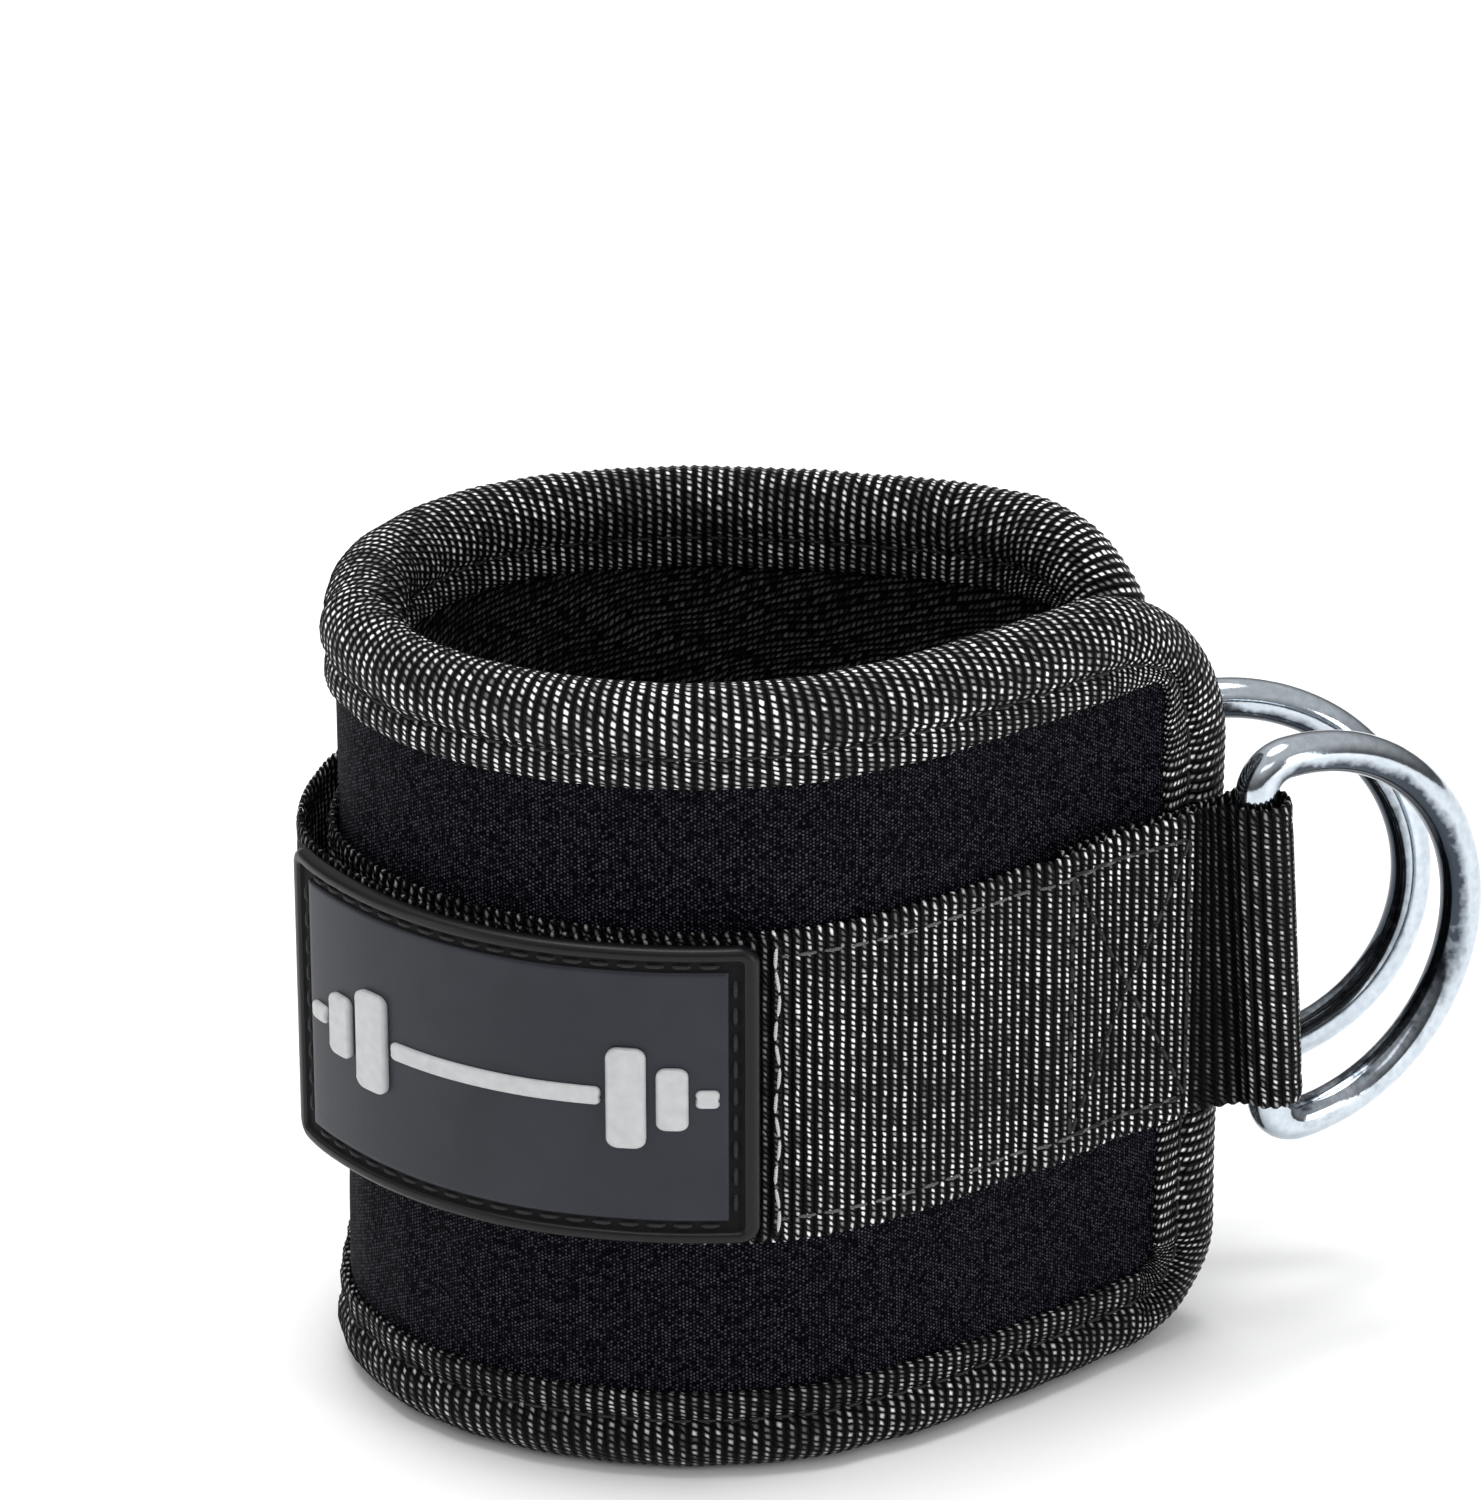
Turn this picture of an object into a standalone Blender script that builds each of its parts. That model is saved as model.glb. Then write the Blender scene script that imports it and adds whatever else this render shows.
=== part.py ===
"""Ankle cuff for a cable machine: a padded band closed by a hook-and-loop strap, with two D-rings.

Metres, +Z up. The cuff stands on its lower rim. The band is drawn once in plan, as the line
through the middle of the padding, and each soft layer is a strip bent along that line: s runs
along the line, d outwards from it and z upwards. The west end of the band is its living hinge.
"""

import math

import bmesh
import bpy
import numpy as np
from mathutils import Matrix, Vector

# Driving dimensions
BAND_HEIGHT = 0.100
RIM_WIDTH = 0.0092
BINDING_COVER = 0.011
BINDING_THICKNESS = 0.001
TOP_CORNER = 0.020
BOTTOM_CORNER = 0.014
HEM_CORNER = 0.003
FOLD_AT_HEM = 0.00075
FOLD_AT_MIDDLE = 0.0009
FLAT_ANGLE = 20
GAP = 0.0003
LAYER_GAP = 0.0002
TAPE_GAP = 0.00012
THREAD_GAP = 0.0001
STATION = 0.0036
PAD_HALF = 0.0033
HEM = PAD_HALF + GAP
SKIN_THICKNESS = 0.0008
SKIN_INSET = 0.0074
LINING_THICKNESS = 0.0012
CORE_INSET = 0.0024
WEBBING_WIDTH = 0.040
WEBBING_THICKNESS = 0.0011
WEBBING_LEVEL = 0.050
STRAP_WIDTH = 0.038
STRAP_LEVEL = 0.052
TAPE_THICKNESS = 0.0005
PATCH_SPAN = 0.0546
PATCH_THICKNESS = 0.0011
WIRE_RADIUS = 0.0025
RING_HEIGHT = 0.0536
RING_REACH = 0.0308
RING_CORNER = 0.0042
BOX_LINE = 0.0007
BOX_THREAD = 0.00025
PATCH_CORNER = 0.002
PATCH_STITCH_INSET = 0.0030
PATCH_STITCH_CORNER = 0.0015
PATCH_LINE = 0.0006
PATCH_THREAD = 0.0003
EMBLEM_RISE = 0.0006

# Where the straps start, end and leave the band, as x from the band's middle
FRONT_BOX_X = 0.030
FRONT_LEAVE_X = 0.0456
STRAP_END_X = -0.0008
BACK_WEBBING_END_X = 0.0240
REAR_BOX_X = 0.0120
REAR_LEAVE_X = 0.0215

# Beyond these distances from the hinge, each half of the line runs east
FRONT_RUNS_EAST = 0.02
BACK_RUNS_EAST = 0.05

# How a strap climbs: to a doubled stretch just before it starts, and onto the end binding
STEP_FROM = 0.006
STEP_TO = 0.001
BINDING_MARGIN = 0.0012
BINDING_CLIMB = 0.009
TUCK = 0.0034

# The band's middle stands off the origin, because the rings reach out on one side only
BAND_CENTRE = Vector((-0.0149, -0.0014, 0.0))

# Plan line of the padding's middle, from the hinge round each half, relative to the band's middle
FRONT_LINE = [
    (-0.0484, 0.0),
    (-0.0476, -0.0060),
    (-0.0452, -0.0115),
    (-0.0406, -0.0175),
    (-0.0340, -0.0230),
    (-0.0260, -0.0270),
    (-0.0170, -0.0292),
    (-0.0080, -0.0298),
    (0.0005, -0.0288),
    (0.0090, -0.0256),
    (0.0180, -0.0202),
    (0.0270, -0.0134),
    (0.0355, -0.0060),
    (0.0435, 0.0010),
    (0.0525, 0.0080),
]
BACK_LINE = [
    (-0.0484, 0.0),
    (-0.0482, 0.0070),
    (-0.0468, 0.0145),
    (-0.0425, 0.0220),
    (-0.0355, 0.0287),
    (-0.0260, 0.0333),
    (-0.0150, 0.0355),
    (-0.0030, 0.0354),
    (0.0090, 0.0336),
    (0.0200, 0.0310),
    (0.0290, 0.0273),
    (0.0354, 0.0227),
    (0.0396, 0.0178),
    (0.0408, 0.0138),
    (0.0388, 0.0106),
]

# Joint axes, relative to the band's middle
FLAP_HINGE = Vector((-0.0578, 0.0, 0.0))
PEEL_HINGE = Vector((-0.0578, -0.0006, 0.0))
FRONT_BAR = Vector((0.0580, 0.0015, 0.0512))
FRONT_RING_YAW = math.radians(28.6)
FRONT_RING_TILT = math.radians(4.0)
REAR_BAR = Vector((0.0498, 0.0262, 0.0495))
REAR_RING_YAW = math.radians(5.7)

# Heights of the strap layers' middles over the padding's middle
BASE_LAYER = PAD_HALF + LAYER_GAP + WEBBING_THICKNESS / 2
LAYER_STEP = WEBBING_THICKNESS + LAYER_GAP
LOOP_TAPE_FACE = BASE_LAYER + WEBBING_THICKNESS / 2 + TAPE_GAP
HOOK_TAPE_FACE = LOOP_TAPE_FACE + TAPE_THICKNESS + TAPE_GAP
STRAP_FACE = HOOK_TAPE_FACE + TAPE_THICKNESS + TAPE_GAP
STRAP_LAYER = STRAP_FACE + WEBBING_THICKNESS / 2
PATCH_FACE = STRAP_FACE + WEBBING_THICKNESS + TAPE_GAP
BAR_WRAP = WIRE_RADIUS + 2 * GAP + WEBBING_THICKNESS / 2


def clear_scene():
    for obj in list(bpy.data.objects):
        bpy.data.objects.remove(obj)


def make_material(name, colour, roughness, metallic=0.0):
    material = bpy.data.materials.new(name)
    material.use_nodes = True
    shader = material.node_tree.nodes["Principled BSDF"]
    shader.inputs["Base Color"].default_value = (*colour, 1.0)
    shader.inputs["Roughness"].default_value = roughness
    shader.inputs["Metallic"].default_value = metallic
    material.diffuse_color = (*colour, 1.0)
    return material


class Course:
    """A plan line of short straight steps that the layers follow; `side` picks its outward side.

    The line starts at the hinge, on y = 0, where the other half mirrors its first step.
    """

    def __init__(self, points, side):
        curve = smooth(np.array(points, float), samples=24)
        reach = path_reach(curve)
        count = round(reach[-1] / STATION) + 1
        marks = np.linspace(0.0, reach[-1], count)
        self.line = np.stack([np.interp(marks, reach, curve[:, k]) for k in (0, 1)], axis=1)
        self.reach = path_reach(self.line)
        self.length = float(self.reach[-1])
        before_hinge = self.line[1] * [1, -1]
        self.outward = mitres(np.concatenate([[before_hinge], self.line]))[1:] * side

    def at(self, s, d=0.0):
        """The plan point at distance s along the line and d outwards from it."""
        layer = self.line + self.outward * d
        return np.array([np.interp(s, self.reach, layer[:, k]) for k in (0, 1)])

    def stations(self, start, end, extra=()):
        """Every step of the line from start to end, so that all layers bend at the same places."""
        marks = [start, end, *extra, *self.reach]
        chosen = []
        for s in sorted(s for s in marks if start <= s <= end):
            if not chosen or s - chosen[-1] > 1e-5:
                chosen.append(float(s))
        return chosen

    def s_at_x(self, x, after=0.0):
        """Where the line first passes x beyond the distance `after`."""
        fine = np.linspace(after, self.length, 4000)
        xs = np.interp(fine, self.reach, self.line[:, 0])
        return float(fine[np.nonzero(np.diff(np.sign(xs - x)))[0][0]])


def path_reach(path):
    """The distance along a path at each of its points."""
    steps = np.linalg.norm(np.diff(path, axis=0), axis=1)
    return np.concatenate([[0.0], np.cumsum(steps)])


def mitres(path):
    """At each point, the vector to the right of the path that keeps a parallel line one unit away."""
    ways = np.diff(path, axis=0)
    ways /= np.linalg.norm(ways, axis=1)[:, None]
    rights = np.stack([ways[:, 1], -ways[:, 0]], axis=1)
    first, last = rights[:1], rights[-1:]
    sums = np.concatenate([first, rights]) + np.concatenate([rights, last])
    return 2 * sums / (sums**2).sum(axis=1)[:, None]


def smooth(points, samples):
    """A Catmull-Rom curve through the points."""
    ends = [2 * points[0] - points[1], *points, 2 * points[-1] - points[-2]]
    ends = np.array(ends)
    curve = []
    for before, start, finish, after in zip(ends, ends[1:], ends[2:], ends[3:]):
        for t in np.linspace(0.0, 1.0, samples, endpoint=False):
            curve.append(
                0.5
                * (
                    2 * start
                    + (finish - before) * t
                    + (2 * before - 5 * start + 4 * finish - after) * t**2
                    + (3 * start - before - 3 * finish + after) * t**3
                )
            )
    curve.append(points[-1])
    return np.array(curve)


def smoothstep(value, low, high):
    t = min(max((value - low) / (high - low), 0.0), 1.0)
    return t * t * (3 - 2 * t)


# Meshes


def tube_mesh(name, rings, closed=False):
    """A closed mesh through sections that all have the same number of points."""
    mesh = bmesh.new()
    loops = [[mesh.verts.new(point) for point in ring] for ring in rings]
    pairs = list(zip(loops, loops[1:]))
    if closed:
        pairs.append((loops[-1], loops[0]))
    for first, second in pairs:
        for i in range(len(first)):
            j = (i + 1) % len(first)
            mesh.faces.new((first[i], first[j], second[j], second[i]))
    if not closed:
        mesh.faces.new(loops[0])
        mesh.faces.new(loops[-1])
    return finished(mesh, name)


def plate_mesh(name, faces, place, thickness, bends):
    """A flat net of faces in (s, z), thickened, cut across at each bend and then put in place."""
    mesh = bmesh.new()
    points = sorted({point for face in faces for point in face})
    low = {(s, z): mesh.verts.new((s, 0.0, z)) for s, z in points}
    high = {(s, z): mesh.verts.new((s, thickness, z)) for s, z in points}
    for face in faces:
        mesh.faces.new([high[point] for point in face])
        mesh.faces.new([low[point] for point in reversed(face)])
    rims = [edge for edge in mesh.edges if len(edge.link_faces) == 1]
    names = {vert: point for point, vert in low.items()}
    for edge in rims:
        if edge.verts[0] in names and edge.verts[1] in names:
            a, b = (names[vert] for vert in edge.verts)
            mesh.faces.new([low[a], low[b], high[b], high[a]])
    for bend in bends:
        everything = mesh.verts[:] + mesh.edges[:] + mesh.faces[:]
        bmesh.ops.bisect_plane(mesh, geom=everything, dist=1e-7, plane_co=(bend, 0, 0), plane_no=(1, 0, 0))
    for vert in mesh.verts:
        vert.co = place(*vert.co)
    return finished(mesh, name)


def finished(mesh, name):
    bmesh.ops.recalc_face_normals(mesh, faces=mesh.faces)
    data = bpy.data.meshes.new(name)
    mesh.to_mesh(data)
    mesh.free()
    if signed_volume(data) < 0:
        data.flip_normals()
    data.shade_smooth()
    data.set_sharp_from_angle(angle=math.radians(40))
    return data


def signed_volume(data):
    total = 0.0
    for polygon in data.polygons:
        first, *others = [data.vertices[i].co for i in polygon.vertices]
        for second, third in zip(others, others[1:]):
            total += first.dot(second.cross(third))
    return total


def add(name, data, parent, material):
    """Places a mesh that is drawn in the band's frame under one of the hinge empties."""
    obj = bpy.data.objects.new(name, data)
    data.materials.append(material)
    bpy.context.scene.collection.objects.link(obj)
    obj.parent = parent
    obj.location = BAND_CENTRE - world_of(parent)
    return obj


def world_of(empty):
    place = Vector((0.0, 0.0, 0.0))
    while empty:
        place += empty.location
        empty = empty.parent
    return place


def add_empty(name, place, parent=None):
    empty = bpy.data.objects.new(name, None)
    empty.empty_display_size = 0.01
    bpy.context.scene.collection.objects.link(empty)
    empty.parent = parent
    empty.location = place - (world_of(parent) if parent else Vector((0.0, 0.0, 0.0)))
    return empty


# Layers of the band


def end_stations(course, inset, start):
    """(s, z low, z high) of a layer whose far end has rounded corners, inset from the band's edge."""
    corners = [(radius - inset, course.length - radius) for radius in (BOTTOM_CORNER, TOP_CORNER)]
    bends = [turn + r * math.sin(math.radians(a)) for r, turn in corners for a in (0, 25, 45, 62, 78)]
    rows = []
    for s in course.stations(start, course.length - inset, bends):
        drops = []
        for radius, turn in corners:
            past = min(max(s - turn, 0.0) / radius, 1.0)
            drops.append(radius * (1 - math.sqrt(1 - past**2)))
        rows.append((s, inset + drops[0], BAND_HEIGHT - inset - drops[1]))
    return rows


def layer_mesh(name, course, rows, low, high):
    rings = []
    for s, bottom, top in rows:
        inner, outer = course.at(s, low), course.at(s, high)
        rings.append([(*inner, bottom), (*inner, top), (*outer, top), (*outer, bottom)])
    return tube_mesh(name, rings)


def make_pad(half, course, parent, materials):
    """Foam core, knitted face and soft lining of one half of the band."""
    start = GAP / 2
    skins = end_stations(course, SKIN_INSET, start)
    core = end_stations(course, CORE_INSET, start)
    skin_low = PAD_HALF - SKIN_THICKNESS
    lining_high = -PAD_HALF + LINING_THICKNESS
    core_faces = (lining_high + GAP, skin_low - GAP)
    layers = (
        ("pad_core", core, core_faces, "foam"),
        ("outer_fabric", skins, (skin_low, PAD_HALF), "knit"),
        ("lining", skins, (-PAD_HALF, lining_high), "lining"),
    )
    for kind, rows, (low, high), material in layers:
        name = f"{half}_{kind}"
        add(name, layer_mesh(name, course, rows, low, high), parent, materials[material])


def binding_section(cover):
    """The folded binding tape, as (distance in from the band's edge, d), with a narrow flat on the edge."""
    outer, inner = RIM_WIDTH / 2, RIM_WIDTH / 2 - BINDING_THICKNESS
    centre = outer * math.cos(math.radians(FLAT_ANGLE))
    middle = (centre + cover) / 2
    hem = [(cover, HEM + FOLD_AT_HEM), (middle, HEM + FOLD_AT_MIDDLE)]
    face = [*hem, *arc(centre, outer, (90, 55, FLAT_ANGLE))]
    wall = [(cover, HEM), (middle, HEM), *arc(centre, inner, (90, 50, 15))]
    other_face = [(edge, -d) for edge, d in reversed(face)]
    other_wall = [(edge, -d) for edge, d in wall]
    return face + other_face + other_wall + list(reversed(wall))


def arc(centre, radius, degrees):
    return [(centre - radius * math.cos(a), radius * math.sin(a)) for a in np.radians(degrees)]


def corner_route(course, radius):
    """The tape's edge and hem round a corner, as (edge s, edge drop, hem s, hem drop) from the rim down.

    The tape is folded at the corner, so its hem turns more sharply than its edge.
    """
    straight = radius - BINDING_COVER - HEM_CORNER
    hem_length = 2 * straight + HEM_CORNER * math.pi / 2
    points = []
    for share in np.linspace(0.0, 1.0, 7)[1:]:
        angle = share * math.pi / 2
        edge_s = course.length - radius * (1 - math.sin(angle))
        edge_drop = radius * (1 - math.cos(angle))
        along = share * hem_length
        turned = min(max((along - straight) / HEM_CORNER, 0.0), math.pi / 2)
        past = max(along - straight - HEM_CORNER * math.pi / 2, 0.0)
        hem_s = course.length - radius + min(along, straight) + HEM_CORNER * math.sin(turned)
        hem_drop = BINDING_COVER + HEM_CORNER * (1 - math.cos(turned)) + past
        points.append((edge_s, edge_drop, hem_s, hem_drop))
    return points


def binding_route(course):
    """(edge s, edge z, hem s, hem z) along the top, down the end and back along the bottom."""
    top = BAND_HEIGHT
    route = []
    for s in course.stations(GAP / 2, course.length - TOP_CORNER):
        route.append((s, top, s, top - BINDING_COVER))
    for edge_s, drop, hem_s, hem_drop in corner_route(course, TOP_CORNER):
        route.append((edge_s, top - drop, hem_s, top - hem_drop))
    for edge_s, drop, hem_s, hem_drop in reversed(corner_route(course, BOTTOM_CORNER)):
        route.append((edge_s, drop, hem_s, hem_drop))
    for s in reversed(course.stations(GAP / 2, course.length - BOTTOM_CORNER)):
        route.append((s, 0.0, s, BINDING_COVER))
    return route


def make_binding(half, course, parent, material):
    name = f"{half}_binding"
    rings = []
    for edge_s, edge_z, hem_s, hem_z in binding_route(course):
        cover = math.hypot(hem_s - edge_s, hem_z - edge_z)
        in_s, in_z = (hem_s - edge_s) / cover, (hem_z - edge_z) / cover
        section = binding_section(cover)
        rings.append([(*course.at(edge_s + deep * in_s, d), edge_z + deep * in_z) for deep, d in section])
    add(name, tube_mesh(name, rings), parent, material)


# Webbing


def ribbon_mesh(name, path, level, width, thickness=WEBBING_THICKNESS, lean=None):
    """An upright ribbon along a plan path. `lean` shifts a point sideways with its height."""
    path = np.array(path)
    across = mitres(path) * thickness / 2
    rings = []
    for centre, side in zip(path, across):
        corners = [(centre - side, -1), (centre - side, 1), (centre + side, 1), (centre + side, -1)]
        ring = []
        for point, end in corners:
            z = level + end * width / 2
            shift = lean(centre, z) if lean else np.zeros(2)
            ring.append((*(point + shift), z))
        rings.append(ring)
    return tube_mesh(name, rings)


def loop_round_bar(bar, start, end, clockwise):
    """Points round a bar from the direction of `start` to that of `end`."""
    angles = [math.atan2(*(np.array(p) - bar)[::-1]) for p in (start, end)]
    turn = angles[1] - angles[0]
    if clockwise and turn > 0:
        turn -= 2 * math.pi
    if not clockwise and turn < 0:
        turn += 2 * math.pi
    marks = np.linspace(0.0, 1.0, 13)
    return [
        bar + BAR_WRAP * np.array([math.cos(angles[0] + turn * m), math.sin(angles[0] + turn * m)])
        for m in marks
    ]


def make_front_webbing(course, parent, materials):
    """Base webbing on the front half, turned round the front ring's bar and sewn down under itself."""
    bar = np.array(FRONT_BAR.xy)
    box_start = course.s_at_x(FRONT_BOX_X, after=FRONT_RUNS_EAST)
    over_binding = course.length - BINDING_COVER - BINDING_MARGIN
    leave = course.s_at_x(FRONT_LEAVE_X, after=FRONT_RUNS_EAST)
    doubling, climbing = step_before(box_start), (over_binding - BINDING_CLIMB, over_binding)

    def inner_level(s):
        return BASE_LAYER + LAYER_STEP * smoothstep(s, *climbing)

    def outer_level(s):
        return inner_level(s) + LAYER_STEP * smoothstep(s, *doubling)

    climbs = in_thirds(*doubling) + in_thirds(*climbing)
    outward = [course.at(s, outer_level(s)) for s in course.stations(GAP / 2, leave, climbs)]
    inner = course.stations(box_start, course.length - TUCK, climbs)
    inward = [course.at(s, inner_level(s)) for s in reversed(inner)]
    away = bar + np.array([-0.0010, -0.0040])
    back = bar + np.array([-0.0025, 0.0032])
    wrap = loop_round_bar(bar, away, back, clockwise=False)
    into_loop = bend_between(outward[-2], outward[-1], wrap[0], wrap[1])
    out_of_loop = bend_between(wrap[-2], wrap[-1], inward[0], inward[1])
    path = outward + into_loop + wrap + out_of_loop + inward
    ring_way = np.array([math.cos(FRONT_RING_YAW), math.sin(FRONT_RING_YAW)])

    def lean(point, z):
        near = 1 - smoothstep(np.linalg.norm(point - bar), 0.0045, 0.010)
        return -ring_way * near * math.tan(FRONT_RING_TILT) * (z - FRONT_BAR.z)

    data = ribbon_mesh("front_webbing", path, WEBBING_LEVEL, WEBBING_WIDTH, lean=lean)
    add("front_webbing", data, parent, materials["webbing"])

    face = WEBBING_THICKNESS / 2 + GAP
    box = (box_start + STEP_TO, leave - 0.0015)

    def on_webbing(s, d, z):
        return (*course.at(s, outer_level(s) + face + d), z)

    bends = course.stations(*box, climbs)[1:-1]
    data = box_stitch("front_box_stitch", on_webbing, box, WEBBING_LEVEL, 0.034, bends)
    add("front_box_stitch", data, parent, materials["thread"])


def step_before(box_start):
    """Where a strap climbs onto the strand that it is sewn to."""
    return box_start - STEP_FROM, box_start - STEP_TO


def in_thirds(low, high):
    return [low, (low + high) / 2, high]


def bend_between(before, start, end, after, count=5):
    """Inner points of a curve that leaves and meets its neighbours smoothly."""
    before, start, end, after = (np.array(p) for p in (before, start, end, after))
    span = np.linalg.norm(end - start)
    leave = (start - before) / np.linalg.norm(start - before) * span * 0.6
    arrive = (after - end) / np.linalg.norm(after - end) * span * 0.6
    points = []
    for t in np.linspace(0.0, 1.0, count + 2)[1:-1]:
        points.append(
            (2 * t**3 - 3 * t**2 + 1) * start
            + (t**3 - 2 * t**2 + t) * leave
            + (3 * t**2 - 2 * t**3) * end
            + (t**3 - t**2) * arrive
        )
    return points


def make_back_webbing(course, parent, material):
    """Base webbing sewn to the outside of the back half."""
    end = course.s_at_x(BACK_WEBBING_END_X, after=BACK_RUNS_EAST)
    path = [course.at(s, BASE_LAYER) for s in course.stations(GAP / 2, end)]
    data = ribbon_mesh("back_webbing", path, WEBBING_LEVEL, WEBBING_WIDTH)
    add("back_webbing", data, parent, material)


def make_rear_strap(course, parent, materials):
    """The closure strap from the rear ring's bar round the back, as far as the hinge."""
    bar = np.array(REAR_BAR.xy)
    box_start = course.s_at_x(REAR_BOX_X, after=BACK_RUNS_EAST)
    leave = course.s_at_x(REAR_LEAVE_X, after=BACK_RUNS_EAST)
    over_base = BASE_LAYER + LAYER_STEP
    doubling = step_before(box_start)

    def outer_level(s):
        at_hinge = (STRAP_LAYER - over_base) * (1 - smoothstep(s, 0.004, 0.030))
        return over_base + at_hinge + LAYER_STEP * smoothstep(s, *doubling)

    marks = course.stations(GAP / 2, leave, in_thirds(*doubling))
    outward = [course.at(s, outer_level(s)) for s in marks]
    inward = [course.at(s, over_base) for s in reversed(course.stations(box_start, leave))]
    run = bar - outward[-1]
    run /= np.linalg.norm(run)
    side = np.array([-run[1], run[0]])
    half = LAYER_STEP / 2
    middle = (outward[-1] + inward[0]) / 2
    reach = np.linalg.norm(bar - middle)
    straight = [middle + run * m for m in np.linspace(0.006, reach - 0.0085, 5)]
    wrap = loop_round_bar(bar, bar - run * 0.25 + side, bar - run * 0.25 - side, clockwise=True)
    upper = [point + side * half for point in straight]
    lower = [point - side * half for point in reversed(straight)]
    path = outward + upper
    path += bend_between(upper[-2], upper[-1], wrap[0], wrap[1], 4) + wrap
    path += bend_between(wrap[-2], wrap[-1], lower[0], lower[1], 4) + lower
    path += inward
    data = ribbon_mesh("closure_strap_back", path, STRAP_LEVEL, STRAP_WIDTH)
    add("closure_strap_back", data, parent, materials["webbing"])

    face = half + WEBBING_THICKNESS / 2 + 0.00015

    def on_strap(s, d, z):
        return (*(middle + run * s + side * (face + d)), z)

    box = (0.0065, reach - 0.0095)
    data = box_stitch("rear_box_stitch", on_strap, box, STRAP_LEVEL, 0.030)
    add("rear_box_stitch", data, parent, materials["thread"])


def box_stitch(name, place, box, level, height, bends=()):
    """A sewn box with a cross in it, as one raised line of thread."""
    start, end = box
    centre = ((start + end) / 2, level)
    half = ((end - start) / 2, height / 2)
    corners = [(-1, -1), (1, -1), (1, 1), (-1, 1)]
    outer = [(centre[0] + x * half[0], centre[1] + y * half[1]) for x, y in corners]
    slope = math.hypot(*half)
    holes = []
    for first, second in zip(corners, corners[1:] + corners[:1]):
        along = [(second[k] - first[k]) / 2 for k in (0, 1)]
        outwards = [(second[k] + first[k]) / 2 for k in (0, 1)]
        deep = 1 if along[0] else 0
        wide = 1 - deep
        base = half[deep] - BOX_LINE
        tip = BOX_LINE * slope / half[wide] / 2
        spread = (base - tip) * half[wide] / half[deep]
        hole = []
        for share, depth in ((-1, base), (1, base), (0, tip)):
            offset = [along[k] * share * spread + outwards[k] * depth for k in (0, 1)]
            hole.append((centre[0] + offset[0], centre[1] + offset[1]))
        holes.append(hole)
    faces = []
    for i in range(4):
        a, b, c = holes[i]
        previous = holes[i - 1]
        faces.append((outer[i], outer[(i + 1) % 4], b, a))
        faces.append((outer[i], a, previous[1]))
        faces.append((a, c, previous[2], previous[1]))
    faces.append(tuple(hole[2] for hole in holes))
    return plate_mesh(name, faces, place, BOX_THREAD, bends)


# Closure


def make_closure(course, front, peel, materials):
    """Loop tape on the front, and the strap's loose end with its hook tape, patch and emblem."""
    strap_end = course.s_at_x(STRAP_END_X, after=FRONT_RUNS_EAST)
    patch_end = strap_end - 0.0020
    patch_start = patch_end - PATCH_SPAN

    def rows(start, end, level, width):
        return [(s, level - width / 2, level + width / 2) for s in course.stations(start, end)]

    tape = rows(0.0090, strap_end - 0.0015, WEBBING_LEVEL + 0.001, 0.035)
    data = layer_mesh("loop_tape", course, tape, LOOP_TAPE_FACE, LOOP_TAPE_FACE + TAPE_THICKNESS)
    add("loop_tape", data, front, materials["loop"])

    start = GAP / 2 - PEEL_HINGE.y
    strap = rows(start, strap_end, STRAP_LEVEL, STRAP_WIDTH)
    data = layer_mesh("closure_strap_end", course, strap, STRAP_FACE, STRAP_FACE + WEBBING_THICKNESS)
    add("closure_strap_end", data, peel, materials["webbing"])

    hook = rows(0.0110, strap_end - 0.0020, STRAP_LEVEL, 0.033)
    data = layer_mesh("hook_tape", course, hook, HOOK_TAPE_FACE, HOOK_TAPE_FACE + TAPE_THICKNESS)
    add("hook_tape", data, peel, materials["hook"])

    make_patch(course, patch_start, patch_end, peel, materials)


def rounded_rows(course, start, end, level, height, corner):
    """(s, z low, z high) of an upright rectangle with rounded corners."""
    bends = [corner * (1 - math.cos(math.radians(angle))) for angle in (30, 60, 90)]
    bends = [start + b for b in bends] + [end - b for b in bends]
    rows = []
    for s in course.stations(start, end, bends):
        short = max(corner - min(s - start, end - s), 0.0)
        drop = corner - math.sqrt(corner**2 - short**2)
        rows.append((s, level - height / 2 + drop, level + height / 2 - drop))
    return rows


def make_patch(course, start, end, parent, materials):
    rows = rounded_rows(course, start, end, STRAP_LEVEL, STRAP_WIDTH, PATCH_CORNER)
    top = PATCH_FACE + PATCH_THICKNESS
    data = layer_mesh("rubber_patch", course, rows, PATCH_FACE, top)
    add("rubber_patch", data, parent, materials["rubber"])

    inset, height = PATCH_STITCH_INSET, STRAP_WIDTH - 2 * PATCH_STITCH_INSET
    route = loop_route(course, start + inset, end - inset, STRAP_LEVEL, height, PATCH_STITCH_CORNER)
    face = top + THREAD_GAP
    rings = []
    for s, z, out_s, out_z in route:
        inner, outer = [(s + out_s * w, z + out_z * w) for w in (-PATCH_LINE / 2, PATCH_LINE / 2)]
        corners = ((inner, face), (outer, face), (outer, face + PATCH_THREAD), (inner, face + PATCH_THREAD))
        rings.append([(*course.at(edge_s, d), edge_z) for (edge_s, edge_z), d in corners])
    data = tube_mesh("patch_stitch", rings, closed=True)
    add("patch_stitch", data, parent, materials["thread"])

    emblem = emblem_rows(course, (start + end) / 2, STRAP_LEVEL)
    data = layer_mesh("patch_emblem", course, emblem, face, face + EMBLEM_RISE)
    add("patch_emblem", data, parent, materials["emblem"])


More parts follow.
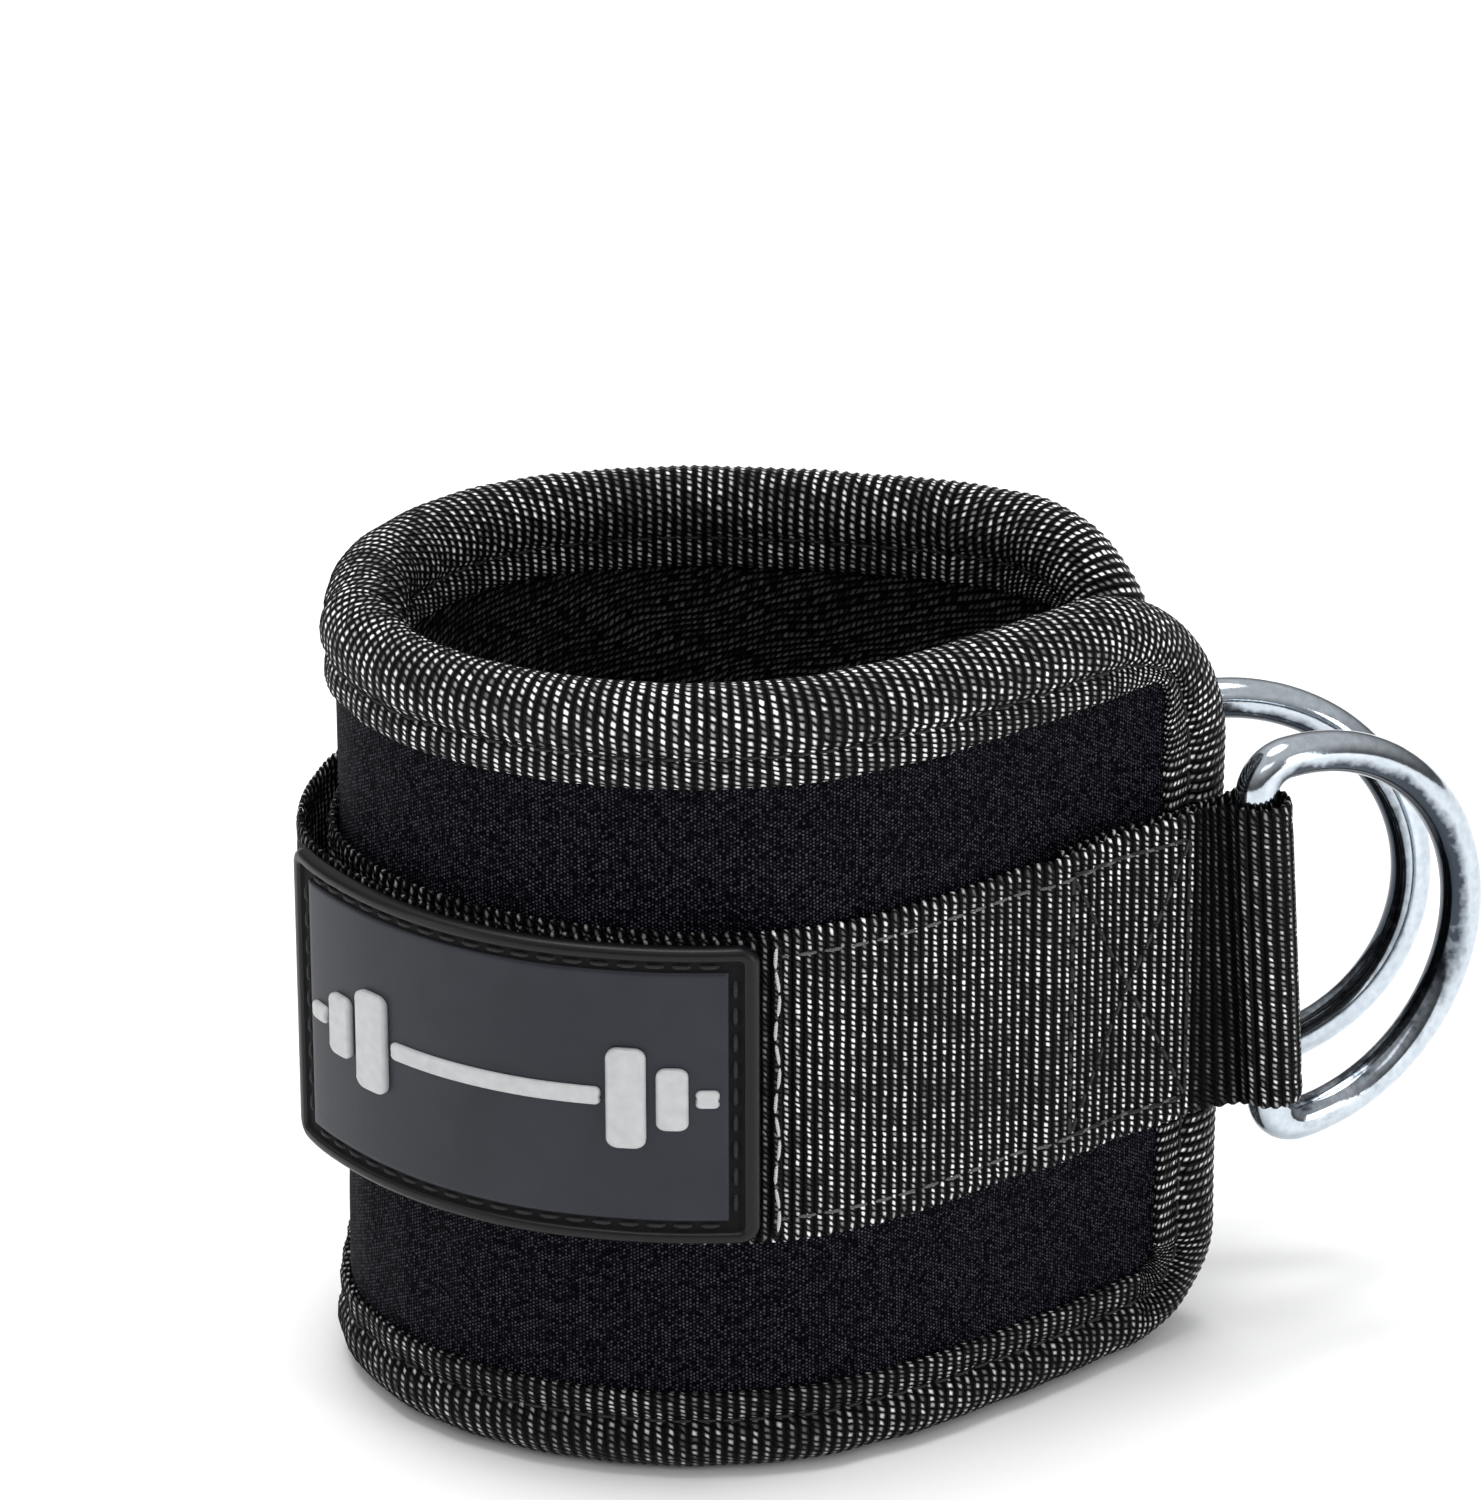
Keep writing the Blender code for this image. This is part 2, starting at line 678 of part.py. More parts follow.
def loop_route(course, start, end, level, height, corner):
    """Points of a rounded rectangle as (s, z, outward s, outward z), bending where the patch does."""
    half = height / 2
    centres = [
        (end - corner, level + half - corner, 0),
        (start + corner, level + half - corner, 90),
        (start + corner, level - half + corner, 180),
        (end - corner, level - half + corner, 270),
    ]
    side = course.stations(start + corner, end - corner)[1:-1]
    sides = [
        [(s, level + half, 0.0, 1.0) for s in reversed(side)],
        [],
        [(s, level - half, 0.0, -1.0) for s in side],
        [],
    ]
    route = []
    for (s, z, first), after in zip(centres, sides):
        for angle in np.radians([first, first + 45, first + 90]):
            out = (math.cos(angle), math.sin(angle))
            route.append((s + corner * out[0], z + corner * out[1], *out))
        route += after
    return route


def emblem_rows(course, middle, level):
    """A barbell: a bar through a small and a large plate on each side."""
    steps = [
        (0.0230, 0.0011),
        (0.0202, 0.0011),
        (0.0198, 0.0036),
        (0.0172, 0.0036),
        (0.0168, 0.0011),
        (0.0160, 0.0011),
        (0.0156, 0.0062),
        (0.0122, 0.0062),
        (0.0118, 0.0011),
        (0.0, 0.0011),
    ]
    outwards = [s for s, _ in reversed(steps)]
    heights = [h for _, h in reversed(steps)]
    bends = [middle + side * s for s in outwards for side in (-1, 1)]
    rows = []
    for s in course.stations(min(bends), max(bends), bends):
        half = np.interp(abs(s - middle), outwards, heights)
        rows.append((s, level - half, level + half))
    return rows


# Rings


def ring_mesh(name):
    """A D of round wire in the XZ plane, with its straight bar along Z through the origin."""
    half = RING_HEIGHT / 2 - WIRE_RADIUS
    reach = RING_REACH - WIRE_RADIUS
    corner = RING_CORNER
    route = [(0.0, z) for z in np.linspace(-(half - corner), half - corner, 5)]
    for angle in np.radians([165, 140, 115]):
        route.append((corner + corner * math.cos(angle), half - corner + corner * math.sin(angle)))
    for angle in np.radians(np.linspace(90, -90, 25)):
        route.append((corner + (reach - corner) * math.cos(angle), half * math.sin(angle)))
    for angle in np.radians([245, 220, 195]):
        route.append((corner + corner * math.cos(angle), -half + corner + corner * math.sin(angle)))
    route = np.array(route)
    ahead = np.roll(route, -1, axis=0) - np.roll(route, 1, axis=0)
    ahead /= np.linalg.norm(ahead, axis=1)[:, None]
    rings = []
    for (x, z), (dx, dz) in zip(route, ahead):
        ring = []
        for angle in np.linspace(0.0, 2 * math.pi, 10, endpoint=False):
            across = WIRE_RADIUS * math.cos(angle)
            ring.append((x + dz * across, WIRE_RADIUS * math.sin(angle), z - dx * across))
        rings.append(ring)
    return tube_mesh(name, rings, closed=True)


def add_ring(name, bar, yaw, tilt, parent, material):
    """The ring's origin is the middle of its bar, which is its swivel axis."""
    obj = bpy.data.objects.new(name, ring_mesh(name))
    obj.data.materials.append(material)
    bpy.context.scene.collection.objects.link(obj)
    obj.parent = parent
    turn = Matrix.Rotation(yaw, 4, "Z") @ Matrix.Rotation(-tilt, 4, "Y")
    obj.matrix_local = Matrix.Translation(BAND_CENTRE + bar - world_of(parent)) @ turn
    return obj


def make_materials():
    return {
        "foam": make_material("foam", (0.02, 0.02, 0.022), 0.95),
        "knit": make_material("outer_knit", (0.012, 0.012, 0.018), 0.85),
        "lining": make_material("lining", (0.02, 0.02, 0.022), 0.95),
        "binding": make_material("binding", (0.035, 0.035, 0.038), 0.75),
        "webbing": make_material("webbing", (0.03, 0.03, 0.033), 0.7),
        "thread": make_material("thread", (0.015, 0.015, 0.016), 0.6),
        "loop": make_material("loop_tape", (0.02, 0.02, 0.02), 1.0),
        "hook": make_material("hook_tape", (0.02, 0.02, 0.02), 0.6),
        "rubber": make_material("patch_rubber", (0.022, 0.023, 0.026), 0.5),
        "emblem": make_material("emblem", (0.75, 0.75, 0.76), 0.45),
        "steel": make_material("ring_steel", (0.75, 0.76, 0.78), 0.18, 1.0),
    }


def main():
    clear_scene()
    materials = make_materials()
    front = Course(FRONT_LINE, side=1)
    back = Course(BACK_LINE, side=-1)
    cuff = add_empty("cuff", BAND_CENTRE)
    flap_hinge = add_empty("flap_hinge", BAND_CENTRE + FLAP_HINGE, cuff)
    peel_hinge = add_empty("peel_hinge", BAND_CENTRE + PEEL_HINGE, flap_hinge)

    make_pad("back", back, cuff, materials)
    make_binding("back", back, cuff, materials["binding"])
    make_back_webbing(back, cuff, materials["webbing"])
    make_rear_strap(back, cuff, materials)
    add_ring("rear_d_ring", REAR_BAR, REAR_RING_YAW, 0.0, cuff, materials["steel"])

    make_pad("front", front, flap_hinge, materials)
    make_binding("front", front, flap_hinge, materials["binding"])
    make_front_webbing(front, flap_hinge, materials)
    add_ring("front_d_ring", FRONT_BAR, FRONT_RING_YAW, FRONT_RING_TILT, flap_hinge, materials["steel"])
    make_closure(front, flap_hinge, peel_hinge, materials)


main()
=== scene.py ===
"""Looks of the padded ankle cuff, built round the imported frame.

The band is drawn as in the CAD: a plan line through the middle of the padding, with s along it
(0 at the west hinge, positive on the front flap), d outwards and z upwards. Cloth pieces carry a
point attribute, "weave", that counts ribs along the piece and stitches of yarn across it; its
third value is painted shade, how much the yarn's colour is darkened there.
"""

import math

import bpy
import numpy as np
from mathutils import Euler, Matrix, Vector


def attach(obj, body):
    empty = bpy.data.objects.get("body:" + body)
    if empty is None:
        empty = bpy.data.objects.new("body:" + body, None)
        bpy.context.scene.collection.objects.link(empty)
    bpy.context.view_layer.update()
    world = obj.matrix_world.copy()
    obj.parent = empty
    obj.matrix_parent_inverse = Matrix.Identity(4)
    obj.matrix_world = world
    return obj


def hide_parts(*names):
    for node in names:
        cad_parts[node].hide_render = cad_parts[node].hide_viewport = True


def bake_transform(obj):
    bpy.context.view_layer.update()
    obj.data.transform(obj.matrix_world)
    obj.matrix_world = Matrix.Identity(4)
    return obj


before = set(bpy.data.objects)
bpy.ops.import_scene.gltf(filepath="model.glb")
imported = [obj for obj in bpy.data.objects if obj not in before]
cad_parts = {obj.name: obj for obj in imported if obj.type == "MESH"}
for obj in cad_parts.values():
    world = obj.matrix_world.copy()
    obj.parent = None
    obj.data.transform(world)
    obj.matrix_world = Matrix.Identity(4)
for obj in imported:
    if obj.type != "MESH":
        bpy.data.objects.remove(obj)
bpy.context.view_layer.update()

# The band, in metres, as in the CAD
BAND_CENTRE = np.array([-0.0149, -0.0014])
BAND_HEIGHT = 0.100
PAD_HALF = 0.0033
RIM_RADIUS = 0.0046
BINDING_COVER = 0.011
TOP_CORNER = 0.022
BOTTOM_CORNER = 0.014
HEM_CORNER = 0.003
WEBBING_WIDTH = 0.0394
WEBBING_THICKNESS = 0.0011
WEBBING_LEVEL = 0.050
STRAP_WIDTH = 0.038
STRAP_LEVEL = 0.052
BASE_LAYER = 0.00405
LAYER_STEP = 0.0013
STRAP_LAYER = 0.00651
WIRE_RADIUS = 0.0025
BAR_WRAP = 0.00365
RIB = 0.00135
BINDING_RIB = 0.0013
BINDING_SEAM_DEPTH = 0.0074
EDGE_SEAM_INSET = 0.0028

# Rows of stitches in metres: pitch, length of a stitch and radius of the thread
BINDING_SEAM = (0.0030, 0.0024, 0.00022)
EDGE_SEAM = (0.0032, 0.0025, 0.00022)
BOX_SEAM = (0.0028, 0.0023, 0.00026)
PATCH_SEAM = (0.0031, 0.0025, 0.00030)
STRAP_END_SEAM = (0.0030, 0.0031, 0.00022)

# A stitch from end to end, as shares of its length and radius, and its rise in radii
STITCH_PROFILE = (
    (-0.5, 0.2, -0.9), (-0.42, 0.75, -0.35), (-0.2, 1, 0.1),
    (0.2, 1, 0.1), (0.42, 0.75, -0.35), (0.5, 0.2, -0.9),
)

FRONT_LINE = [
    (-0.0484, 0.0), (-0.0476, -0.0060), (-0.0452, -0.0115), (-0.0406, -0.0175),
    (-0.0340, -0.0230), (-0.0260, -0.0270), (-0.0170, -0.0292), (-0.0080, -0.0298),
    (0.0005, -0.0288), (0.0090, -0.0256), (0.0180, -0.0202), (0.0270, -0.0134),
    (0.0355, -0.0060), (0.0435, 0.0010), (0.0525, 0.0080),
]
BACK_LINE = [
    (-0.0484, 0.0), (-0.0482, 0.0070), (-0.0468, 0.0145), (-0.0425, 0.0220),
    (-0.0355, 0.0287), (-0.0260, 0.0333), (-0.0150, 0.0355), (-0.0030, 0.0354),
    (0.0090, 0.0336), (0.0200, 0.0310), (0.0290, 0.0273), (0.0354, 0.0227),
    (0.0396, 0.0178), (0.0408, 0.0138), (0.0388, 0.0106),
]


# Plan line


def smooth(points, samples=40):
    """A Catmull-Rom curve through the points."""
    points = np.array(points, float)
    ends = np.concatenate([[2 * points[0] - points[1]], points, [2 * points[-1] - points[-2]]])
    t = np.linspace(0, 1, samples, endpoint=False)[:, None]
    curve = []
    for before, start, finish, after in zip(ends, ends[1:], ends[2:], ends[3:]):
        straight = (finish - before) * t
        bend = (2 * before - 5 * start + 4 * finish - after) * t**2
        twist = (3 * start - before - 3 * finish + after) * t**3
        curve.append(0.5 * (2 * start + straight + bend + twist))
    return np.concatenate([*curve, points[-1:]])


def reach_along(path):
    steps = np.linalg.norm(np.diff(path, axis=0), axis=1)
    return np.concatenate([[0.0], np.cumsum(steps)])


def sampled(marks, reach, values):
    """Each column of the values, read at the marks."""
    return np.stack([np.interp(marks, reach, column) for column in values.T], axis=-1)


def units(vectors):
    return vectors / np.linalg.norm(vectors, axis=1)[:, None]


def rights(path):
    """Unit vectors to the right of a path in plan."""
    way = units(np.gradient(path, axis=0))
    return np.stack([way[:, 1], -way[:, 0]], axis=1)


class Course:
    """The plan line from the back half's end, round the hinge, to the flap's end."""

    def __init__(self):
        line = smooth(BACK_LINE[::-1] + FRONT_LINE[1:])
        reach = reach_along(line)
        marks = np.arange(0.0, reach[-1], 0.0005)
        self.line = sampled(marks, reach, line)
        at_hinge = marks[np.argmin(np.hypot(*(self.line - BACK_LINE[0]).T))]
        self.s = marks - at_hinge
        self.outward = rights(self.line)
        self.start, self.end = self.s[0], self.s[-1]

    def at(self, s, d):
        """World plan points at s along the line and d outwards."""
        shift = sampled(s, self.s, self.outward) * np.asarray(d)[..., None]
        return sampled(s, self.s, self.line) + shift + BAND_CENTRE

    def place(self, s, d, z):
        plan = self.at(s, d)
        return np.concatenate([plan, np.broadcast_to(z, plan.shape[:-1])[..., None]], axis=-1)

    def s_at_x(self, x, front):
        """Where one half of the line passes x, in the band's own frame."""
        half = self.s > 0.02 if front else self.s < -0.045
        return float(self.s[half][np.argmin(abs(self.line[half, 0] - x))])


COURSE = Course()
SEAM = COURSE.s_at_x(0.022, front=False)


def ramp(value, low, high):
    t = np.clip((value - low) / (high - low), 0, 1)
    return t * t * (3 - 2 * t)


def near(value, centre, width):
    return np.exp(-(((value - centre) / width) ** 2))


def rib_marks(length, pitch):
    """Places along a tape, four to a rib."""
    return np.linspace(0, length, 4 * round(length / pitch) + 1)


def between_ribs(rib):
    """1 where two ribs meet, 0 on top of one."""
    return 1 - abs(np.sin(math.pi * rib)) ** 0.7


# Meshes


def grid_mesh(name, points, weave, around=False, looped=False, caps=False):
    """A grid of quads. `around` joins its last column to its first, `looped` its last row."""
    rows, columns = points.shape[:2]
    index = np.arange(rows * columns).reshape(rows, columns)
    if around:
        index = np.concatenate([index, index[:, :1]], axis=1)
    if looped:
        index = np.concatenate([index, index[:1]], axis=0)
    corners = (index[:-1, :-1], index[:-1, 1:], index[1:, 1:], index[1:, :-1])
    quads = np.stack(corners, axis=-1).reshape(-1, 4).tolist()
    if caps:
        quads += [index[0, :columns][::-1].tolist(), index[-1, :columns].tolist()]
    mesh = bpy.data.meshes.new(name)
    mesh.from_pydata(points.reshape(-1, 3).tolist(), [], quads)
    mesh.shade_smooth()
    add_weave(mesh, weave.reshape(-1, weave.shape[-1]))
    return mesh


def add_weave(mesh, weave):
    attribute = mesh.attributes.new("weave", "FLOAT_VECTOR", "POINT")
    flat = np.concatenate([weave, np.zeros((len(weave), 3 - weave.shape[1]))], axis=1)
    attribute.data.foreach_set("vector", flat.astype(np.float32).ravel())


def solid_mesh(name, points, weave, **closing):
    """A closed grid with its faces outwards; `closing` says how, where its ends aren't capped."""
    mesh = grid_mesh(name, points, weave, around=True, **(closing or {"caps": True}))
    volume = 0.0
    for polygon in mesh.polygons:
        first, *others = [mesh.vertices[i].co for i in polygon.vertices]
        for second, third in zip(others, others[1:]):
            volume += first.dot(second.cross(third))
    if volume < 0:
        mesh.flip_normals()
    return mesh


def piece(name, data, *materials):
    obj = bpy.data.objects.new(name, data)
    for material in materials:
        data.materials.append(material)
    bpy.context.scene.collection.objects.link(obj)
    return obj


def join(name, meshes, materials):
    """One mesh from several, each with its own material of the list."""
    objects = [piece(f"{name}_{i}", mesh, *materials) for i, mesh in enumerate(meshes)]
    for slot, obj in enumerate(objects):
        slots = np.full(len(obj.data.polygons), min(slot, len(materials) - 1), np.int32)
        obj.data.polygons.foreach_set("material_index", slots)
    with bpy.context.temp_override(
        active_object=objects[0], selected_editable_objects=objects, object=objects[0]
    ):
        bpy.ops.object.join()
    objects[0].name = name
    return objects[0]


def stitches(points, normals, pitch, length, radius):
    """Thread stitches along a line, each a short rounded bar that dips at its ends."""
    points, normals = np.asarray(points), np.asarray(normals)
    reach = reach_along(points)
    count = max(int(reach[-1] / pitch), 1)
    corners = np.linspace(0, 2 * math.pi, 8, endpoint=False)
    meshes = []
    for i in range(count):
        rings, weave = [], []
        for along, fat, lift in STITCH_PROFILE:
            s = (i + 0.5) * reach[-1] / count + along * length
            spot, up = spot_on(points, reach, s), spot_on(normals, reach, s)
            way = spot_on(points, reach, s + 1e-4) - spot_on(points, reach, s - 1e-4)
            way /= np.linalg.norm(way) + 1e-12
            side = np.cross(way, up)
            round_thread = np.outer(np.cos(corners), side) + np.outer(np.sin(corners), up)
            rings.append(spot + up * radius * lift + fat * radius * round_thread)
            weave.append([(s / RIB, a) for a in corners])
        meshes.append(grid_mesh("stitch", np.array(rings), np.array(weave), around=True, caps=True))
    return merged(meshes)


def sew(surface, s, z, seam):
    """Stitches along s and z on a surface that gives world points at a height above it."""
    above = 0.001
    face = surface(s, z, 0.0)
    return stitches(face, (surface(s, z, above) - face) / above, *seam)


def spot_on(values, reach, s):
    return sampled(min(max(s, 0.0), reach[-1]), reach, values)


def merged(meshes):
    """One mesh from many with the same attributes."""
    points, faces, weave, base = [], [], [], 0
    for mesh in meshes:
        count = len(mesh.vertices)
        points += [tuple(v.co) for v in mesh.vertices]
        weave += [tuple(v.vector)[:2] for v in mesh.attributes["weave"].data]
        faces += [[i + base for i in polygon.vertices] for polygon in mesh.polygons]
        base += count
        bpy.data.meshes.remove(mesh)
    whole = bpy.data.meshes.new("merged")
    whole.from_pydata(points, [], faces)
    whole.shade_smooth()
    add_weave(whole, np.array(weave))
    return whole


# Materials


class Nodes:
    """A short way to write a material's node tree as sums."""

    def __init__(self, name):
        self.material = bpy.data.materials.new(name)
        self.material.use_nodes = True
        self.tree = self.material.node_tree
        self.shader = self.tree.nodes["Principled BSDF"]

    def link(self, source, target):
        if isinstance(source, (int, float, tuple)):
            target.default_value = source
        else:
            self.tree.links.new(source, target)

    def new(self, kind):
        return self.tree.nodes.new(f"ShaderNode{kind}")

    def fill(self, node, **values):
        for name, value in values.items():
            self.link(value, node.inputs[name.replace("_", " ")])

    def math(self, operation, first, second=0.0, third=0.0):
        node = self.new("Math")
        node.operation = operation
        for value, target in zip((first, second, third), node.inputs):
            self.link(value, target)
        return node.outputs[0]

    def times(self, first, second):
        return self.math("MULTIPLY", first, second)

    def times_plus(self, first, second, third):
        return self.math("MULTIPLY_ADD", first, second, third)

    def power(self, first, second):
        return self.math("POWER", first, second)

    def weave(self):
        """Ribs along the piece and yarns across it, or millimetres on the padding."""
        node = self.new("Attribute")
        node.attribute_name = "weave"
        return node.outputs["Vector"]

    def parts(self, vector):
        apart = self.new("SeparateXYZ")
        self.link(vector, apart.inputs[0])
        return apart.outputs

    def where(self):
        return self.new("TexCoord").outputs["Object"]

    def scaled(self, vector, scale):
        node = self.new("VectorMath")
        node.operation = "MULTIPLY"
        self.link(vector, node.inputs[0])
        node.inputs[1].default_value = scale
        return node.outputs[0]

    def noise(self, scale, detail=2.0, distortion=0.0, vector=None):
        node = self.new("TexNoise")
        vector = vector or self.where()
        self.fill(node, Vector=vector, Scale=scale, Detail=detail, Distortion=distortion)
        return node.outputs[0]

    def mix(self, factor, first, second):
        node = self.new("Mix")
        node.data_type = "RGBA"
        self.link(factor, node.inputs[0])
        for value, target in zip((first, second), (node.inputs[6], node.inputs[7])):
            self.link((*value, 1.0) if isinstance(value, tuple) else value, target)
        return node.outputs[2]

    def bump(self, height, strength, distance):
        node = self.new("Bump")
        self.fill(node, Height=height, Strength=strength, Distance=distance)
        self.set(Normal=node.outputs[0])

    def set(self, **values):
        self.fill(self.shader, **values)

    def off_centre(self, value):
        """-1 to 1 across each unit step of the value."""
        return self.times_plus(self.math("FRACT", value), 2.0, -1.0)

    def dome(self, value, width=1.0):
        """A round top over each unit step of the value, 0 beyond the given share of it."""
        off = self.math("DIVIDE", self.off_centre(value), width)
        left = self.math("SUBTRACT", 1.0, self.times(off, off))
        return self.math("SQRT", self.math("MAXIMUM", left, 0.0))

    def cell_tone(self, first, second):
        """A random number for each whole step of two values."""
        cell = self.new("CombineXYZ")
        self.fill(cell, X=self.math("FLOOR", first), Y=self.math("FLOOR", second))
        node = self.new("TexWhiteNoise")
        node.noise_dimensions = "2D"
        self.fill(node, Vector=cell.outputs[0])
        return node.outputs["Value"]


def yarn_material(name, dark, light, slant, shine):
    """Ribbed tape: slanting beads of yarn, each with a painted highlight over the share `shine` of
    its rib, darkened where the weave's third value paints shade.
    """
    n = Nodes(name)
    rib, yarn, painted_shade = n.parts(n.weave())
    shake = n.math("SUBTRACT", n.noise(700), 0.5)
    odd = n.math("MODULO", n.math("FLOOR", rib), 2.0)
    slipped = n.times_plus(shake, 0.9, yarn)
    turned = n.times_plus(n.off_centre(rib), slant, slipped)
    across = n.times_plus(odd, 0.5, turned)
    shaken = n.times_plus(shake, 0.35, rib)
    bead, fold = n.dome(across), n.dome(rib)
    height = n.times(fold, n.times_plus(bead, 0.6, 0.4))
    body = n.times(n.power(height, 2.0), 0.015)
    spot = n.times(n.dome(across, 0.74), n.dome(shaken, shine))
    tone = n.power(n.times_plus(n.cell_tone(rib, across), 0.85, 0.15), 1.3)
    patchy = n.times_plus(n.noise(110), 4.6, -0.70)
    glint = n.times(n.power(spot, 2.2), n.times(tone, patchy))
    # The weave's third value is painted shade: it dims the painted highlights and the yarn's body.
    bright = n.math("SUBTRACT", 1.0, painted_shade)
    lit = n.times(n.math("ADD", glint, body), bright)
    n.set(Base_Color=n.mix(lit, dark, light), Roughness=0.4, Specular_IOR_Level=0.06)
    n.bump(height, 1.0, 0.0006)
    return n.material


def knit_material():
    """Fine knit: loops in upright wales, a few of them catching the light."""
    n = Nodes("outer_knit")
    s, z, _ = n.parts(n.weave())
    sway = n.math("SUBTRACT", n.noise(1300), 0.5)
    wale = n.times_plus(sway, 0.8, n.times(s, 2.6))
    odd = n.math("MODULO", n.math("FLOOR", wale), 2.0)
    level = n.times_plus(z, 2.2, n.times(odd, 0.5))
    course = n.times_plus(sway, 0.9, level)
    loop = n.times(n.dome(wale, 0.8), n.dome(course, 0.75))
    chosen = n.power(n.cell_tone(wale, course), 1.4)
    lit = n.times(n.power(loop, 2.0), chosen)
    n.set(Base_Color=n.mix(lit, (0.0012, 0.0010, 0.0026), (0.088, 0.085, 0.112)))
    n.set(Roughness=0.6, Specular_IOR_Level=0.02)
    n.bump(n.times_plus(n.dome(wale), 0.3, loop), 0.9, 0.00022)
    return n.material


def lining_material():
    """Brushed lining: wavy, slanting rows of short loops of nap."""
    n = Nodes("lining")
    vector = n.weave()
    s, z, _ = n.parts(vector)
    sway = n.noise(0.22, 1.0, vector=n.scaled(vector, (0.4, 0.7, 1.0)))
    slope = n.times_plus(s, 0.28, n.times(z, 1.1))
    row = n.times_plus(sway, 3.0, slope)
    hair = n.noise(900, 3.0)
    loop = n.times_plus(n.off_centre(row), 0.3, n.times_plus(s, 1.3, hair))
    nap = n.times(n.dome(row, 0.6), n.dome(loop, 0.8))
    worn = n.times(n.cell_tone(row, loop), n.noise(70))
    lit = n.times(nap, worn)
    n.set(Base_Color=n.mix(lit, (0.0016, 0.0016, 0.0022), (0.22, 0.22, 0.24)))
    n.set(Roughness=0.8, Specular_IOR_Level=0.03)
    n.bump(n.times_plus(nap, 0.7, hair), 0.9, 0.0003)
    return n.material


def rubber_material(channel_from=1.6, field_from=3.1):
    """Moulded rubber: a black rim and stitched channel round a paler field."""
    n = Nodes("patch_rubber")
    grain = n.noise(2600)
    smear = n.noise(90, 3.0, 0.4)
    depth, _, _ = n.parts(n.weave())
    width = field_from - channel_from
    channel = n.math("COMPARE", depth, channel_from + width / 2, width / 2)
    field = n.math("GREATER_THAN", depth, field_from)
    face = n.mix(smear, (0.006, 0.008, 0.013), (0.026, 0.029, 0.039))
    n.set(Base_Color=n.mix(field, (0.002, 0.002, 0.003), face))
    smooth_face = n.times_plus(smear, 0.10, 0.33)
    n.set(Roughness=n.times_plus(channel, 0.5, smooth_face), Specular_IOR_Level=0.26)
    n.bump(grain, 0.3, 0.00006)
    return n.material


def emblem_material():
    n = Nodes("emblem")
    dust = n.noise(700, 3.0)
    n.set(Base_Color=n.mix(dust, (0.40, 0.41, 0.42), (0.58, 0.59, 0.60)), Roughness=0.38)
    n.bump(dust, 0.3, 0.00005)
    return n.material


def steel_material():
    """Polished steel, pitted, with patchy stains and painted shade along the inside and the
    underside of the wire.
    """
    n = Nodes("ring_steel")
    pits = n.noise(900, 4.0)
    sweep = n.noise(160, 3.0, vector=n.scaled(n.where(), (1.0, 1.0, 0.25)))
    way_x, _, way_z = n.parts(n.new("TexCoord").outputs["Normal"])
    x, _, z = n.parts(n.where())
    # Painted shade: the colour darkens where the wire faces the inside of the D and where it faces
    # down; the noise adds patchy stains.
    round_x = n.times(way_x, n.times_plus(x, -40.0, 0.17))
    inner = n.times_plus(way_z, n.times(z, -40.0), round_x)
    low = n.times_plus(way_z, -0.5, inner)
    rough = n.times_plus(pits, 0.9, n.times_plus(sweep, 1.4, -1.10))
    stain_and_shade = n.times(n.math("ADD", low, rough), 1.6)
    stain_and_shade = n.math("MINIMUM", n.math("MAXIMUM", stain_and_shade, 0.0), 1.0)
    clean = n.mix(pits, (0.34, 0.40, 0.46), (0.68, 0.73, 0.78))
    n.set(Base_Color=n.mix(stain_and_shade, clean, (0.045, 0.055, 0.070)), Metallic=1.0)
    n.set(Roughness=n.times_plus(sweep, 0.16, 0.04))
    n.bump(pits, 0.25, 0.00006)
    return n.material


def thread_material(name, dark, light):
    n = Nodes(name)
    turn, around, _ = n.parts(n.weave())
    strand = n.dome(n.times_plus(turn, 4.0, n.times(around, 0.32)))
    n.set(Base_Color=n.mix(strand, dark, light), Roughness=0.45, Specular_IOR_Level=0.15)
    n.bump(strand, 0.6, 0.00008)
    return n.material


def hook_material():
    """Hook tape: rows of stiff bristles on a dark ground."""
    n = Nodes("hook_tape")
    x, y, z = n.parts(n.where())
    along = n.times(n.math("ADD", x, y), 900.0)
    up = n.times_plus(n.noise(900), 0.8, n.times(z, 900.0))
    bristle = n.times(n.dome(along, 0.7), n.dome(up, 0.6))
    lit = n.times(bristle, n.cell_tone(along, up))
    n.set(Base_Color=n.mix(lit, (0.002, 0.002, 0.002), (0.10, 0.10, 0.105)))
    n.set(Roughness=0.45, Specular_IOR_Level=0.15)
    n.bump(bristle, 1.0, 0.0006)
    return n.material


def loop_material():
    """Loop tape: a soft tangle of fine loops."""
    n = Nodes("loop_tape")
    pile = n.noise(650, 5.0, 3.0)
    matted = n.noise(120)
    lit = n.times(n.power(pile, 4.0), n.times_plus(matted, 1.2, 0.3))
    n.set(Base_Color=n.mix(lit, (0.0025, 0.0025, 0.0028), (0.30, 0.30, 0.31)))
    n.set(Roughness=0.9, Specular_IOR_Level=0.03)
    n.bump(pile, 1.0, 0.0007)
    return n.material


# The pale colours are painted highlights: glints on the beads of near-black yarn.
WEBBING_BLACK = (0.0014, 0.0014, 0.0017)
WEBBING_HIGHLIGHT = (0.92, 0.92, 0.93)
# The dimmed highlight is painted shade as well, for the closure strap's end round the patch.
SHADED_HIGHLIGHT = (0.16, 0.16, 0.165)
BINDING_BLACK = (0.0014, 0.0014, 0.0019)
BINDING_HIGHLIGHT = (0.98, 0.98, 0.99)

